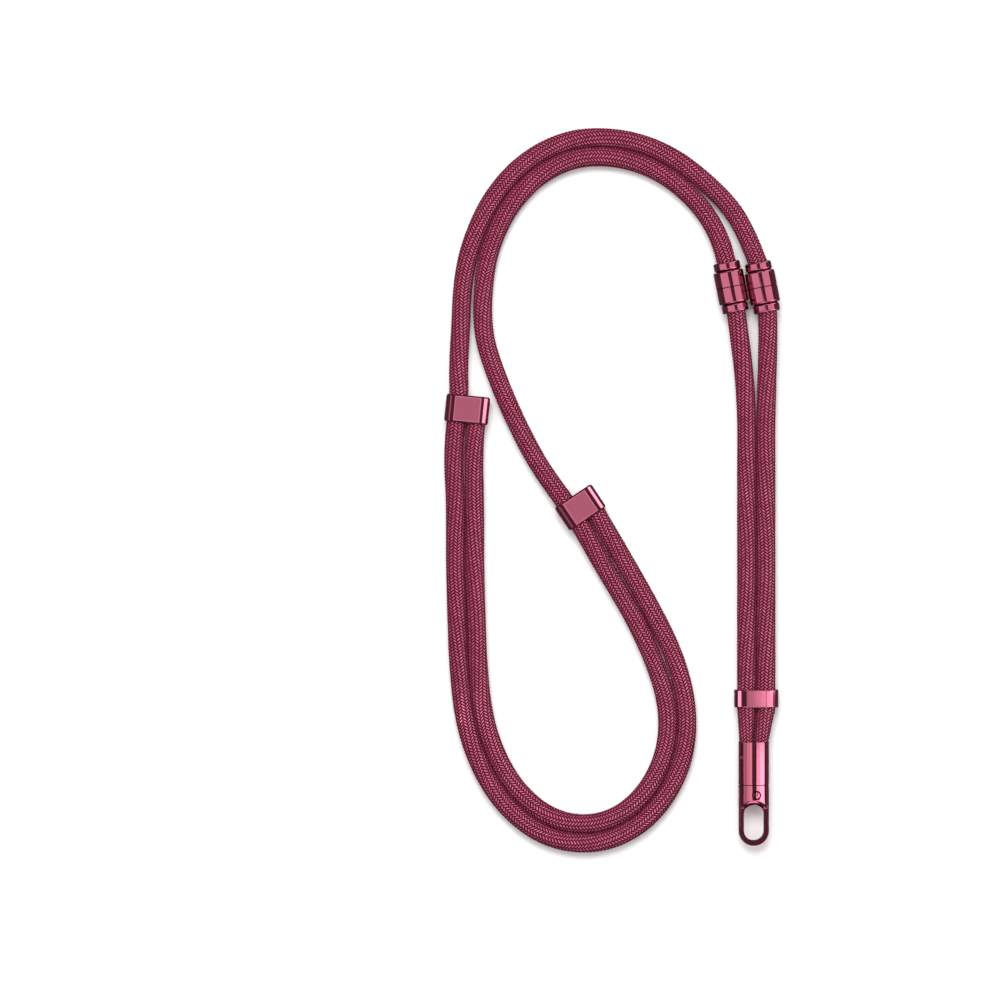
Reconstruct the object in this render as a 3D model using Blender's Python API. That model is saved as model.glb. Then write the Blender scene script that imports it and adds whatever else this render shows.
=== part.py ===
"""Phone crossbody strap, laid flat on a surface.

Two braided ropes run side by side from an end cap with a swivel hook, through a keeper band, into
a pair of two-piece clasps, and on round a long loop with two sliders. Each rope passes through one
slider and ends in the other, which is what sets the strap's length.

Units are metres, +Z is up, the surface is z = 0 and +Y runs from the hook to the top of the loop.
"""

from collections import namedtuple
import math

import bmesh
import bpy
from mathutils import Vector


def laid_out(across, along):
    """The place at a share of the layout's width and a share of its length."""
    return across * LAYOUT_WIDTH, along * LAYOUT_LENGTH


# How far the laid-out loop reaches, between the middle lines of its pairs of ropes
LAYOUT_WIDTH = 0.1200
LAYOUT_LENGTH = 0.2842

# Ropes
ROPE_DIAMETER = 0.0079
ROPE_GAP = 0.0003
ROPE_SIDES = 12
STATION_PITCH = 0.0195

# Clearance of a fitting round a rope, and of one solid beside another
ROPE_CLEARANCE = 0.0003
PIECE_GAP = 0.0003

# Clasps: turned barrels in two halves, one on each rope
CLASP_LENGTH = 0.0210
CLASP_BODY_LENGTH = 0.0134
CLASP_COLLAR_WALL = 0.00125
CLASP_COLLAR_LENGTH = 0.0030
CLASP_GROOVE_DEPTH = 0.0005
CLASP_BODY_RAISE = 0.0007
CLASP_CHAMFER = 0.0005
CLASP_WEB = 0.0018
CLASP_SPIGOT_RADIUS = 0.0046
CLASP_SPIGOT_LENGTH = 0.0020
CLASP_CENTRE = laid_out(0.5067, 0.3103)
CLASP_TILT = math.radians(11.0)
CLASP_STAGGER = 0.0013

# Sliders
SLIDER_LENGTH = 0.0114
SLIDER_SIDE_WALL = 0.00075
SLIDER_FACE_WALL = 0.00095
SLIDER_END_WALL = 0.0024
SLIDER_CORNER_RADIUS = 0.0037
SLIDER_EDGE = 0.00025
SLIDER_LEFT_CENTRE = laid_out(-0.4592, 0.1323)
SLIDER_LEFT_TILT = math.radians(-5.7)
SLIDER_RIGHT_CENTRE = laid_out(-0.0683, -0.0106)
SLIDER_RIGHT_TILT = math.radians(33.7)

# Keeper band
KEEPER_WALL = 0.0008
KEEPER_LENGTH = 0.0073
KEEPER_EDGE = 0.0002
KEEPER_CENTRE = laid_out(0.5400, -0.2896)

# End cap, turned, with its swivel bore
HOOK_DIAMETER = 0.0126
CAP_LENGTH = 0.0176
CAP_WALL = 0.0007
CAP_FLOOR = 0.0020
CAP_EDGE = 0.0003
CAP_MOUTH_CENTRE = laid_out(0.5308, -0.3529)
CAP_ROPE_DEPTH = 0.0085

# Set screw through the cap's wall
SCREW_RADIUS = 0.0014
SCREW_LENGTH = 0.0014
SCREW_DEPTH = 0.0064
SCREW_ANGLE = math.radians(57.0)

# Swivel hook
HOOK_LENGTH = 0.0252
HOOK_SHOULDER_LENGTH = 0.0079
HOOK_PLATE_THICKNESS = 0.0050
HOOK_RAMP_LEAD = 0.0011
HOOK_RAMP_LENGTH = 0.0029
EYE_WIDTH = 0.0083
EYE_CROWN_WALL = 0.0023
SWIVEL_NECK_RADIUS = 0.0020
SWIVEL_HEAD_RADIUS = 0.0034
SWIVEL_HEAD_LENGTH = 0.0013
SWIVEL_CLEARANCE = 0.0003

# Gate and its pin
GATE_THICKNESS = 0.0030
GATE_CLEARANCE = 0.0003
GATE_BOSS_RADIUS = 0.0024
GATE_PIN_RADIUS = 0.0015
GATE_PIN_INSET = 0.0009
GATE_SEAM_SHARE = 0.58
GATE_SEAM_SLOPE = math.radians(49.0)

ROUND_STEPS = 32
BORE_STEPS = 24
ARC_STEPS = 5

CURVE_SAMPLES = 16
SHARP_ANGLE = math.radians(30.0)
MERGE_DISTANCE = 1e-6
OVERSHOOT = 0.002

# Sizes that follow from those above
ROPE_RADIUS = ROPE_DIAMETER / 2
ROPE_PITCH = ROPE_DIAMETER + ROPE_GAP
SOCKET_RADIUS = ROPE_RADIUS + ROPE_CLEARANCE
CLASP_COLLAR_RADIUS = SOCKET_RADIUS + CLASP_COLLAR_WALL
CLASP_RADIUS = CLASP_COLLAR_RADIUS + CLASP_BODY_RAISE
SLIDER_WIDTH = ROPE_PITCH + 2 * (SOCKET_RADIUS + SLIDER_SIDE_WALL)
SLIDER_HEIGHT = 2 * (SOCKET_RADIUS + SLIDER_FACE_WALL)
KEEPER_WIDTH = ROPE_PITCH + 2 * (SOCKET_RADIUS + KEEPER_WALL)
KEEPER_HEIGHT = 2 * (SOCKET_RADIUS + KEEPER_WALL)
HOOK_RADIUS = HOOK_DIAMETER / 2
CAP_HOLLOW_RADIUS = HOOK_RADIUS - CAP_WALL
SQUEEZED_RADIUS = (CAP_HOLLOW_RADIUS - ROPE_CLEARANCE - ROPE_GAP / 2) / 2
HOOK_TOP_Y = CAP_MOUTH_CENTRE[1] - CAP_LENGTH - PIECE_GAP

# Drops are measured down from the hook's top face
EYE_LENGTH = HOOK_LENGTH - HOOK_SHOULDER_LENGTH - EYE_CROWN_WALL
RAMP_START_DROP = HOOK_SHOULDER_LENGTH - HOOK_RAMP_LEAD
RAMP_END_DROP = RAMP_START_DROP + HOOK_RAMP_LENGTH
GATE_PIN_DROP = HOOK_SHOULDER_LENGTH / 2
GATE_SEAM_DROP = HOOK_SHOULDER_LENGTH + GATE_SEAM_SHARE * EYE_LENGTH

SLIDER_LIFT = SLIDER_HEIGHT / 2 - ROPE_RADIUS
KEEPER_LIFT = KEEPER_HEIGHT / 2 - ROPE_RADIUS

# Where the ropes lie. A row is a point midway between the two ropes, as shares of the layout's
# width and length, how far they are raised off the surface there, and how much further apart than
# touching each lies.
Row = namedtuple("Row", "across along lift spread")

# From the end cap up the right-hand side to the clasps
RIGHT_ROWS = [
    Row(0.5400, -0.3132, KEEPER_LIFT, 0.0),
    Row(0.5400, -0.2252, KEEPER_LIFT, 0.0),
    Row(0.5400, -0.1407, KEEPER_LIFT, 0.0),
    Row(0.5400, -0.0563, KEEPER_LIFT, 0.0),
    Row(0.5400, 0.0281, KEEPER_LIFT, 0.0),
    Row(0.5400, 0.1091, KEEPER_LIFT, 0.0),
    Row(0.5383, 0.1724, 0.0014, 0.0006),
    Row(0.5317, 0.2322, 0.0021, 0.0018),
]
# From the clasps over the top and down the left-hand side
TOP_ROWS = [
    Row(0.4408, 0.4008, 0.0008, 0.0013),
    Row(0.3617, 0.4448, 0.0001, 0.0003),
    Row(0.2350, 0.4880, 0.0, 0.0),
    Row(0.0858, 0.5120, 0.0, 0.0),
    Row(-0.0833, 0.5130, 0.0, 0.0),
    Row(-0.2283, 0.4852, 0.0, 0.0),
    Row(-0.3358, 0.4381, 0.0, 0.0),
    Row(-0.4050, 0.3797, 0.0, 0.0),
    Row(-0.4367, 0.3198, 0.0, 0.0003),
]
# From the left slider round the foot of the loop to the right slider
LOOP_ROWS = [
    Row(-0.4717, 0.0633, 0.0003, 0.0006),
    Row(-0.4667, -0.0074, 0.0, 0.0006),
    Row(-0.4667, -0.0876, 0.0, 0.0003),
    Row(-0.4617, -0.1678, 0.0, 0.0),
    Row(-0.4542, -0.2452, 0.0, 0.0),
    Row(-0.4317, -0.3227, 0.0, 0.0),
    Row(-0.3783, -0.3871, 0.0, 0.0),
    Row(-0.2942, -0.4402, 0.0, 0.0),
    Row(-0.1692, -0.4785, 0.0, 0.0),
    Row(-0.0208, -0.4870, 0.0, 0.0),
    Row(0.1125, -0.4645, 0.0, 0.0),
    Row(0.2092, -0.4184, 0.0, 0.0),
    Row(0.2608, -0.3621, 0.0, 0.0),
    Row(0.2642, -0.2980, 0.0, 0.0),
    Row(0.2200, -0.2308, 0.0, 0.0002),
    Row(0.1450, -0.1636, 0.0, 0.0006),
    Row(0.0533, -0.0964, 0.0003, 0.0007),
]
# Where each rope runs alone: its share across, its share along and its lift
OUTER_LEFT_POINTS = [
    (-0.4825, 0.2463, 0.0),
    (-0.4892, 0.1970, 0.0005),
]
INNER_LEFT_POINTS = [
    (-0.4017, 0.2428, 0.0),
    (-0.3525, 0.1759, 0.0),
    (-0.2842, 0.1091, 0.0),
    (-0.2108, 0.0510, 0.0004),
]


def make_material(name, colour, roughness, metallic):
    """A Principled material in one colour."""
    material = bpy.data.materials.new(name)
    material.use_nodes = True
    shader = material.node_tree.nodes["Principled BSDF"]
    shader.inputs["Base Color"].default_value = (*colour, 1.0)
    shader.inputs["Roughness"].default_value = roughness
    shader.inputs["Metallic"].default_value = metallic
    material.diffuse_color = (*colour, 1.0)
    return material


def new_object(name, data, parent, material=None):
    """Links an object into the scene under its parent."""
    piece = bpy.data.objects.new(name, data)
    bpy.context.scene.collection.objects.link(piece)
    piece.parent = parent
    if material:
        data.materials.append(material)
    return piece


def new_frame(name, parent, location, tilt=0.0):
    """An empty that places one fitting."""
    frame = new_object(name, None, parent)
    frame.location = location
    frame.rotation_euler.z = tilt
    return frame


def mesh_piece(name, shape, parent, material=None):
    """Turns a bmesh into an object with outward faces.

    A piece with a material gets smooth round sides. A helper stays flat-faced, which keeps the
    edges of its cut sharp.
    """
    bmesh.ops.remove_doubles(shape, verts=shape.verts, dist=MERGE_DISTANCE)
    bmesh.ops.recalc_face_normals(shape, faces=shape.faces)
    mesh = bpy.data.meshes.new(name)
    shape.to_mesh(mesh)
    shape.free()
    if material:
        mesh.shade_smooth()
        mesh.set_sharp_from_angle(angle=SHARP_ANGLE)
    return new_object(name, mesh, parent, material)


def turned(name, profile, parent, material=None, closed=False, steps=ROUND_STEPS):
    """A solid turned about Y from a profile of (radius, height) points."""
    shape = bmesh.new()
    points = [shape.verts.new((radius, height, 0.0)) for radius, height in profile]
    edges = [shape.edges.new(pair) for pair in zip(points, points[1:])]
    if closed:
        edges.append(shape.edges.new((points[-1], points[0])))
    bmesh.ops.spin(
        shape,
        geom=points + edges,
        cent=(0, 0, 0),
        axis=(0, 1, 0),
        angle=math.tau,
        steps=steps,
        use_merge=True,
    )
    return mesh_piece(name, shape, parent, material)


def prism(name, outline, low, high, along, parent, material=None, edge=0.0):
    """An outline extruded along Y, X or Z between two heights, its end edges rounded by edge.

    The outline's two numbers are (x, z) along Y, (y, z) along X and (x, y) along Z.
    """
    shape = bmesh.new()
    axis = Vector({"X": (1, 0, 0), "Y": (0, 1, 0), "Z": (0, 0, 1)}[along])
    place = {
        "X": lambda a, b: (low, a, b),
        "Y": lambda a, b: (a, low, b),
        "Z": lambda a, b: (a, b, low),
    }[along]
    floor = shape.faces.new([shape.verts.new(place(a, b)) for a, b in outline])
    raised = bmesh.ops.extrude_face_region(shape, geom=[floor])["geom"]
    corners = [item for item in raised if isinstance(item, bmesh.types.BMVert)]
    bmesh.ops.translate(shape, vec=axis * (high - low), verts=corners)
    if edge:
        rims = [e for e in shape.edges if abs((e.verts[0].co - e.verts[1].co).dot(axis)) < 1e-9]
        bmesh.ops.bevel(
            shape, geom=rims, offset=edge, segments=1, profile=0.5, affect="EDGES", material=-1
        )
    return mesh_piece(name, shape, parent, material)


def arc(centre, radius, start, end, steps):
    """Points along an arc from one angle to another, in radians."""
    angles = [start + (end - start) * i / steps for i in range(steps + 1)]
    return [(centre[0] + radius * math.cos(a), centre[1] + radius * math.sin(a)) for a in angles]


def rounded_outline(width, height, radius, steps):
    """A rectangle with round corners, counter-clockwise from the lower right."""
    x, y = width / 2 - radius, height / 2 - radius
    outline = []
    for corner, centre in enumerate([(x, -y), (x, y), (-x, y), (-x, -y)]):
        start = (corner - 1) * math.pi / 2
        outline += arc(centre, radius, start, start + math.pi / 2, steps)
    return [p for i, p in enumerate(outline) if math.dist(p, outline[i - 1]) > MERGE_DISTANCE]


def circle_outline(centre, radius, steps):
    """A circle's points, with a flat facing each of the four axes."""
    start = math.pi / steps
    return arc(centre, radius, start, start + math.tau, steps)[:-1]


def use_cutter(piece, cutter, operation="DIFFERENCE"):
    """Cuts, joins or trims a piece by a hidden helper."""
    cutter.hide_render = True
    cutter.display_type = "WIRE"
    modifier = piece.modifiers.new(cutter.name, "BOOLEAN")
    modifier.solver = "EXACT"
    modifier.operation = operation
    modifier.object = cutter


def smooth_at(knots, place):
    """The point at a place, counted in knots, on the smooth curve through all the knots."""
    index = min(int(place), len(knots) - 2)
    t = place - index
    before = knots[index - 1] if index else 2 * knots[0] - knots[1]
    last = index + 2 >= len(knots)
    after = 2 * knots[-1] - knots[-2] if last else knots[index + 2]
    start, end = knots[index], knots[index + 1]
    return 0.5 * (
        2 * start
        + (end - before) * t
        + (2 * before - 5 * start + 4 * end - after) * t**2
        + (3 * start - before - 3 * end + after) * t**3
    )


def even_places(knots):
    """Places along the smooth curve about STATION_PITCH apart, the last knot left out."""
    places = [i / CURVE_SAMPLES for i in range((len(knots) - 1) * CURVE_SAMPLES + 1)]
    points = [smooth_at(knots, place) for place in places]
    runs = [0.0]
    for a, b in zip(points, points[1:]):
        runs.append(runs[-1] + (b - a).length)
    count = max(1, round(runs[-1] / STATION_PITCH))
    even = []
    for i in range(count):
        target = runs[-1] * i / count
        k = next(k for k in range(1, len(runs)) if runs[k] >= target)
        share = (target - runs[k - 1]) / (runs[k] - runs[k - 1])
        even.append(places[k - 1] + share / CURVE_SAMPLES)
    return even


def row_points(rows, side):
    """Knots of the rope on one side of a list of rows: +1 the outer rope, -1 the inner."""
    middles = rows_middle(rows)
    knots = []
    for i, row in enumerate(rows):
        run = (middles[min(i + 1, len(rows) - 1)] - middles[max(i - 1, 0)]).normalized()
        outward = Vector((run.y, -run.x, 0.0))
        across = side * (ROPE_PITCH / 2 + row.spread) * outward
        knots.append(middles[i] + across + Vector((0.0, 0.0, ROPE_RADIUS + row.lift)))
    return knots


def lone_points(points):
    """Knots of a rope where it runs alone."""
    return [Vector((*laid_out(*place), ROPE_RADIUS + lift)) for *place, lift in points]


def rows_middle(rows):
    """The line midway between the ropes, which sets the stations that both ropes share."""
    return [Vector((*laid_out(row.across, row.along), 0.0)) for row in rows]


def fitting_point(centre, tilt, height, across, along):
    """A point in a fitting's own directions, as a point of the layout."""
    x = centre[0] + across * math.cos(tilt) - along * math.sin(tilt)
    y = centre[1] + across * math.sin(tilt) + along * math.cos(tilt)
    return Vector((x, y, height))


def clasp_centre(side):
    """The centre of the outer (+1) or the inner (-1) clasp."""
    across = side * (CLASP_RADIUS + PIECE_GAP / 2)
    centre = fitting_point(CLASP_CENTRE, CLASP_TILT, 0.0, across, -side * CLASP_STAGGER)
    return centre.x, centre.y


def clasp_point(side, along):
    """A point on a clasp's axis."""
    return fitting_point(clasp_centre(side), CLASP_TILT, CLASP_RADIUS, 0.0, along)


def slider_point(centre, tilt, side, along):
    """A point on the passing rope (-1) or on the fixed rope's end (+1) in a slider."""
    return fitting_point(centre, tilt, SLIDER_HEIGHT / 2, side * ROPE_PITCH / 2, along)


def rope(name, knots, stretches, parent, material, radii=None):
    """A round rope through places read off the smooth curve through its knots.

    Each stretch is the index of its first knot and the places in it, counted from that knot.
    """
    places = [first + place for first, shares in stretches for place in shares]
    curve = bpy.data.curves.new(name, "CURVE")
    curve.dimensions = "3D"
    curve.bevel_depth = ROPE_RADIUS
    curve.bevel_resolution = ROPE_SIDES // 2 - 2
    curve.use_fill_caps = True
    spline = curve.splines.new("POLY")
    spline.points.add(len(places) - 1)
    for i, place in enumerate(places):
        spline.points[i].co = (*smooth_at(knots, place), 1.0)
        if radii:
            spline.points[i].radius = radii(place)
    new_object(name, curve, parent, material)


def long_rope(name, side, parent, material):
    """A rope from its clasp over the top, through one slider, round the loop and into the other."""
    past = SLIDER_LENGTH / 2 + PIECE_GAP
    pocket_end = SLIDER_LENGTH / 2 - SLIDER_END_WALL - PIECE_GAP
    passed, ended = (SLIDER_LEFT_CENTRE, SLIDER_LEFT_TILT), (SLIDER_RIGHT_CENTRE, SLIDER_RIGHT_TILT)
    alone = lone_points(OUTER_LEFT_POINTS if side > 0 else INNER_LEFT_POINTS)
    start = [
        clasp_point(side, clasp_socket_floor(1) + PIECE_GAP),
        clasp_point(side, CLASP_LENGTH / 2 + PIECE_GAP),
    ]
    top = row_points(TOP_ROWS, side)
    top_places = even_places(rows_middle(TOP_ROWS)) + [len(TOP_ROWS) - 1]
    loop = row_points(LOOP_ROWS, side)
    loop_places = even_places(rows_middle(LOOP_ROWS)) + [len(LOOP_ROWS) - 1]
    if side < 0:
        passed, ended = ended, passed
        loop = loop[::-1]
        loop_places = [len(loop) - 1 - place for place in loop_places][::-1]
    through = [slider_point(*passed, -1, past), slider_point(*passed, -1, -past)]
    end = [slider_point(*ended, 1, -past), slider_point(*ended, 1, pocket_end)]
    first_loop = len(start + top + alone + through)
    stretches = [
        (0, [0, 1]),
        (len(start), top_places),
        (0, range(len(start + top), first_loop)),
        (first_loop, loop_places),
        (first_loop + len(loop), [0, 1]),
    ]
    rope(name, start + top + alone + through + loop + end, stretches, parent, material)


def short_rope(name, side, parent, material):
    """A rope from the end cap up through the keeper into its clasp, squeezed where the cap holds it."""
    squeezed = SQUEEZED_RADIUS + ROPE_GAP / 2
    mouth = Vector((*CAP_MOUTH_CENTRE, HOOK_RADIUS)) + Vector((side * squeezed, 0.0, 0.0))
    start = [mouth - Vector((0.0, CAP_ROPE_DEPTH, 0.0)), mouth]
    right = row_points(RIGHT_ROWS, side)
    end = [
        clasp_point(side, -CLASP_LENGTH / 2 - PIECE_GAP),
        clasp_point(side, -clasp_socket_floor(-1) - PIECE_GAP),
    ]
    knots = start + right + end

    def squeeze(place):
        return SQUEEZED_RADIUS / ROPE_RADIUS if place < len(start) else 1.0

    rope(name, knots, [(0, range(len(knots)))], parent, material, squeeze)


def clasp_socket_floor(end):
    """How far a socket's floor is from a clasp's middle: the top half's (1) or the base half's (-1)."""
    spigot = CLASP_SPIGOT_LENGTH + PIECE_GAP if end > 0 else 0.0
    return spigot + CLASP_WEB


def clasp_outside():
    """A clasp half's outer profile, from the middle seam to the mouth of its socket."""
    body_end = CLASP_BODY_LENGTH / 2
    collar_start = CLASP_LENGTH / 2 - CLASP_COLLAR_LENGTH
    groove_radius = CLASP_COLLAR_RADIUS - CLASP_GROOVE_DEPTH
    mouth = CLASP_LENGTH / 2
    return [
        (CLASP_RADIUS, PIECE_GAP / 2),
        (CLASP_RADIUS, body_end - CLASP_CHAMFER),
        (CLASP_RADIUS - CLASP_CHAMFER, body_end),
        (groove_radius, body_end),
        (groove_radius, collar_start),
        (CLASP_COLLAR_RADIUS, collar_start),
        (CLASP_COLLAR_RADIUS, mouth - CLASP_CHAMFER / 2),
        (CLASP_COLLAR_RADIUS - CLASP_CHAMFER / 2, mouth),
        (SOCKET_RADIUS, mouth),
    ]


def clasp(prefix, side, parent, material):
    """The two halves of a clasp: the base carries a spigot that goes into the top."""
    frame = new_frame(f"{prefix}_frame", parent, (*clasp_centre(side), CLASP_RADIUS), CLASP_TILT)
    recess_radius = CLASP_SPIGOT_RADIUS + PIECE_GAP
    top_floor, base_floor = clasp_socket_floor(1), clasp_socket_floor(-1)
    top = [
        (0.0, CLASP_SPIGOT_LENGTH + PIECE_GAP),
        (recess_radius, CLASP_SPIGOT_LENGTH + PIECE_GAP),
        (recess_radius, PIECE_GAP / 2),
        *clasp_outside(),
        (SOCKET_RADIUS, top_floor),
        (0.0, top_floor),
    ]
    base = [
        (0.0, -CLASP_SPIGOT_LENGTH),
        (CLASP_SPIGOT_RADIUS, -CLASP_SPIGOT_LENGTH),
        (CLASP_SPIGOT_RADIUS, PIECE_GAP / 2),
        *clasp_outside(),
        (SOCKET_RADIUS, base_floor),
        (0.0, base_floor),
    ]
    turned(f"{prefix}_top", top, frame, material)
    turned(f"{prefix}_base", [(radius, -height) for radius, height in base], frame, material)


def slider(name, centre, tilt, parent, material):
    """A block with a through hole for the passing rope and a pocket for the other rope's end."""
    frame = new_frame(f"{name}_frame", parent, (*centre, SLIDER_HEIGHT / 2), tilt)
    half = SLIDER_LENGTH / 2
    block_outline = rounded_outline(SLIDER_WIDTH, SLIDER_HEIGHT, SLIDER_CORNER_RADIUS, ARC_STEPS)
    block = prism(name, block_outline, -half, half, "Y", frame, material, SLIDER_EDGE)
    pocket_outline = rounded_outline(
        ROPE_PITCH + 2 * SOCKET_RADIUS, 2 * SOCKET_RADIUS, SOCKET_RADIUS, ARC_STEPS
    )
    pocket_floor = half - SLIDER_END_WALL
    pocket = prism(
        f"{name}_pocket_cutter", pocket_outline, -half - OVERSHOOT, pocket_floor, "Y", frame
    )
    hole_outline = circle_outline((-ROPE_PITCH / 2, 0.0), SOCKET_RADIUS, 4 * ARC_STEPS)
    hole = prism(
        f"{name}_hole_cutter", hole_outline, pocket_floor - OVERSHOOT, half + OVERSHOOT, "Y", frame
    )
    use_cutter(block, pocket)
    use_cutter(block, hole)


def keeper(parent, material):
    """The band that holds the two ropes together and slides along them."""
    frame = new_frame("keeper_frame", parent, (*KEEPER_CENTRE, KEEPER_HEIGHT / 2))
    half = KEEPER_LENGTH / 2
    outside = rounded_outline(KEEPER_WIDTH, KEEPER_HEIGHT, KEEPER_HEIGHT / 2, ARC_STEPS)
    inside = rounded_outline(
        ROPE_PITCH + 2 * SOCKET_RADIUS, 2 * SOCKET_RADIUS, SOCKET_RADIUS, ARC_STEPS
    )
    band = prism("keeper", outside, -half, half, "Y", frame, material, KEEPER_EDGE)
    use_cutter(
        band, prism("keeper_cutter", inside, -half - OVERSHOOT, half + OVERSHOOT, "Y", frame)
    )


def end_cap(parent, material):
    """The cap that takes both rope ends, with the swivel's bore in its floor, and its set screw."""
    frame = new_frame("end_cap_frame", parent, (*CAP_MOUTH_CENTRE, HOOK_RADIUS))
    bore = SWIVEL_NECK_RADIUS + SWIVEL_CLEARANCE
    profile = [
        (CAP_HOLLOW_RADIUS, 0.0),
        (HOOK_RADIUS - CAP_EDGE, 0.0),
        (HOOK_RADIUS, -CAP_EDGE),
        (HOOK_RADIUS, CAP_EDGE - CAP_LENGTH),
        (HOOK_RADIUS - CAP_EDGE, -CAP_LENGTH),
        (bore, -CAP_LENGTH),
        (bore, CAP_FLOOR - CAP_LENGTH),
        (CAP_HOLLOW_RADIUS, CAP_FLOOR - CAP_LENGTH),
    ]
    cap = turned("end_cap", profile, frame, material, closed=True)
    screw_frame = new_frame("set_screw_frame", frame, (0.0, -SCREW_DEPTH, 0.0))
    screw_frame.rotation_euler.y = -SCREW_ANGLE
    hole = prism(
        "set_screw_cutter",
        circle_outline((0.0, 0.0), SCREW_RADIUS + PIECE_GAP, BORE_STEPS),
        CAP_HOLLOW_RADIUS - OVERSHOOT,
        HOOK_RADIUS + OVERSHOOT,
        "Z",
        screw_frame,
    )
    use_cutter(cap, hole)
    prism(
        "set_screw",
        circle_outline((0.0, 0.0), SCREW_RADIUS, BORE_STEPS),
        HOOK_RADIUS - SCREW_LENGTH,
        HOOK_RADIUS,
        "Z",
        screw_frame,
        material,
        CAP_EDGE / 2,
    )


def hook_blank_profile(stem):
    """The hook's turned blank, from its stem or its top face to its round end."""
    end_centre = HOOK_RADIUS - HOOK_LENGTH
    end = arc((0.0, end_centre), HOOK_RADIUS, 0.0, -math.pi / 2, 2 * ARC_STEPS)
    end[-1] = (0.0, -HOOK_LENGTH)
    if not stem:
        return [(0.0, 0.0), (HOOK_RADIUS, 0.0), *end]
    head_base = PIECE_GAP + CAP_FLOOR + SWIVEL_CLEARANCE
    return [
        (0.0, head_base + SWIVEL_HEAD_LENGTH),
        (SWIVEL_HEAD_RADIUS, head_base + SWIVEL_HEAD_LENGTH),
        (SWIVEL_HEAD_RADIUS, head_base),
        (SWIVEL_NECK_RADIUS, head_base),
        (SWIVEL_NECK_RADIUS, 0.0),
        (HOOK_RADIUS - CAP_EDGE, 0.0),
        (HOOK_RADIUS, -CAP_EDGE),
        *end,
    ]


def ramp_cutter(name, face, frame):
    """Clears the hook down to the plate on its upper (+1) or its lower (-1) side."""
    level = face * HOOK_PLATE_THICKNESS / 2
    rise = (HOOK_RADIUS - HOOK_PLATE_THICKNESS / 2) / HOOK_RAMP_LENGTH
    above = face * (HOOK_RADIUS + OVERSHOOT)
    outline = [
        (-RAMP_START_DROP + OVERSHOOT / rise, above),
        (-RAMP_END_DROP, level),
        (-HOOK_LENGTH - OVERSHOOT, level),
        (-HOOK_LENGTH - OVERSHOOT, above),
    ]
    reach = HOOK_RADIUS + OVERSHOOT
    return prism(name, outline, -reach, reach, "X", frame)


def eye_cutter(name, frame):
    """The eye's slot, with a flat at its crown for a ring to bear on."""
    middle = -HOOK_SHOULDER_LENGTH - EYE_LENGTH / 2
    radius = EYE_WIDTH / 2
    straight = EYE_LENGTH / 2 - radius
    odd_steps = 2 * ARC_STEPS + 1
    upper = arc((0.0, middle + straight), radius, 0.0, math.pi, odd_steps)
    lower = arc((0.0, middle - straight), radius, math.pi, math.tau, odd_steps)
    reach = HOOK_RADIUS + OVERSHOOT
    return prism(name, upper + lower, -reach, reach, "Z", frame)


def seam_line(x, shift):
    """Height of the slanted seam between gate and nose at x, moved square to itself by shift."""
    run = x + HOOK_RADIUS
    return -GATE_SEAM_DROP - run * math.tan(GATE_SEAM_SLOPE) + shift / math.cos(GATE_SEAM_SLOPE)


def gate_window(name, top, shift, reach_in, frame):
    """The full-thickness part of the hook's left-hand side that the gate fills."""
    left, right = -HOOK_RADIUS - OVERSHOOT, -reach_in
    outline = [
        (left, seam_line(left, shift)),
        (right, seam_line(right, shift)),
        (right, top),
        (left, top),
    ]
    reach = HOOK_RADIUS + OVERSHOOT
    return prism(name, outline, -reach, reach, "Z", frame)


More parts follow.
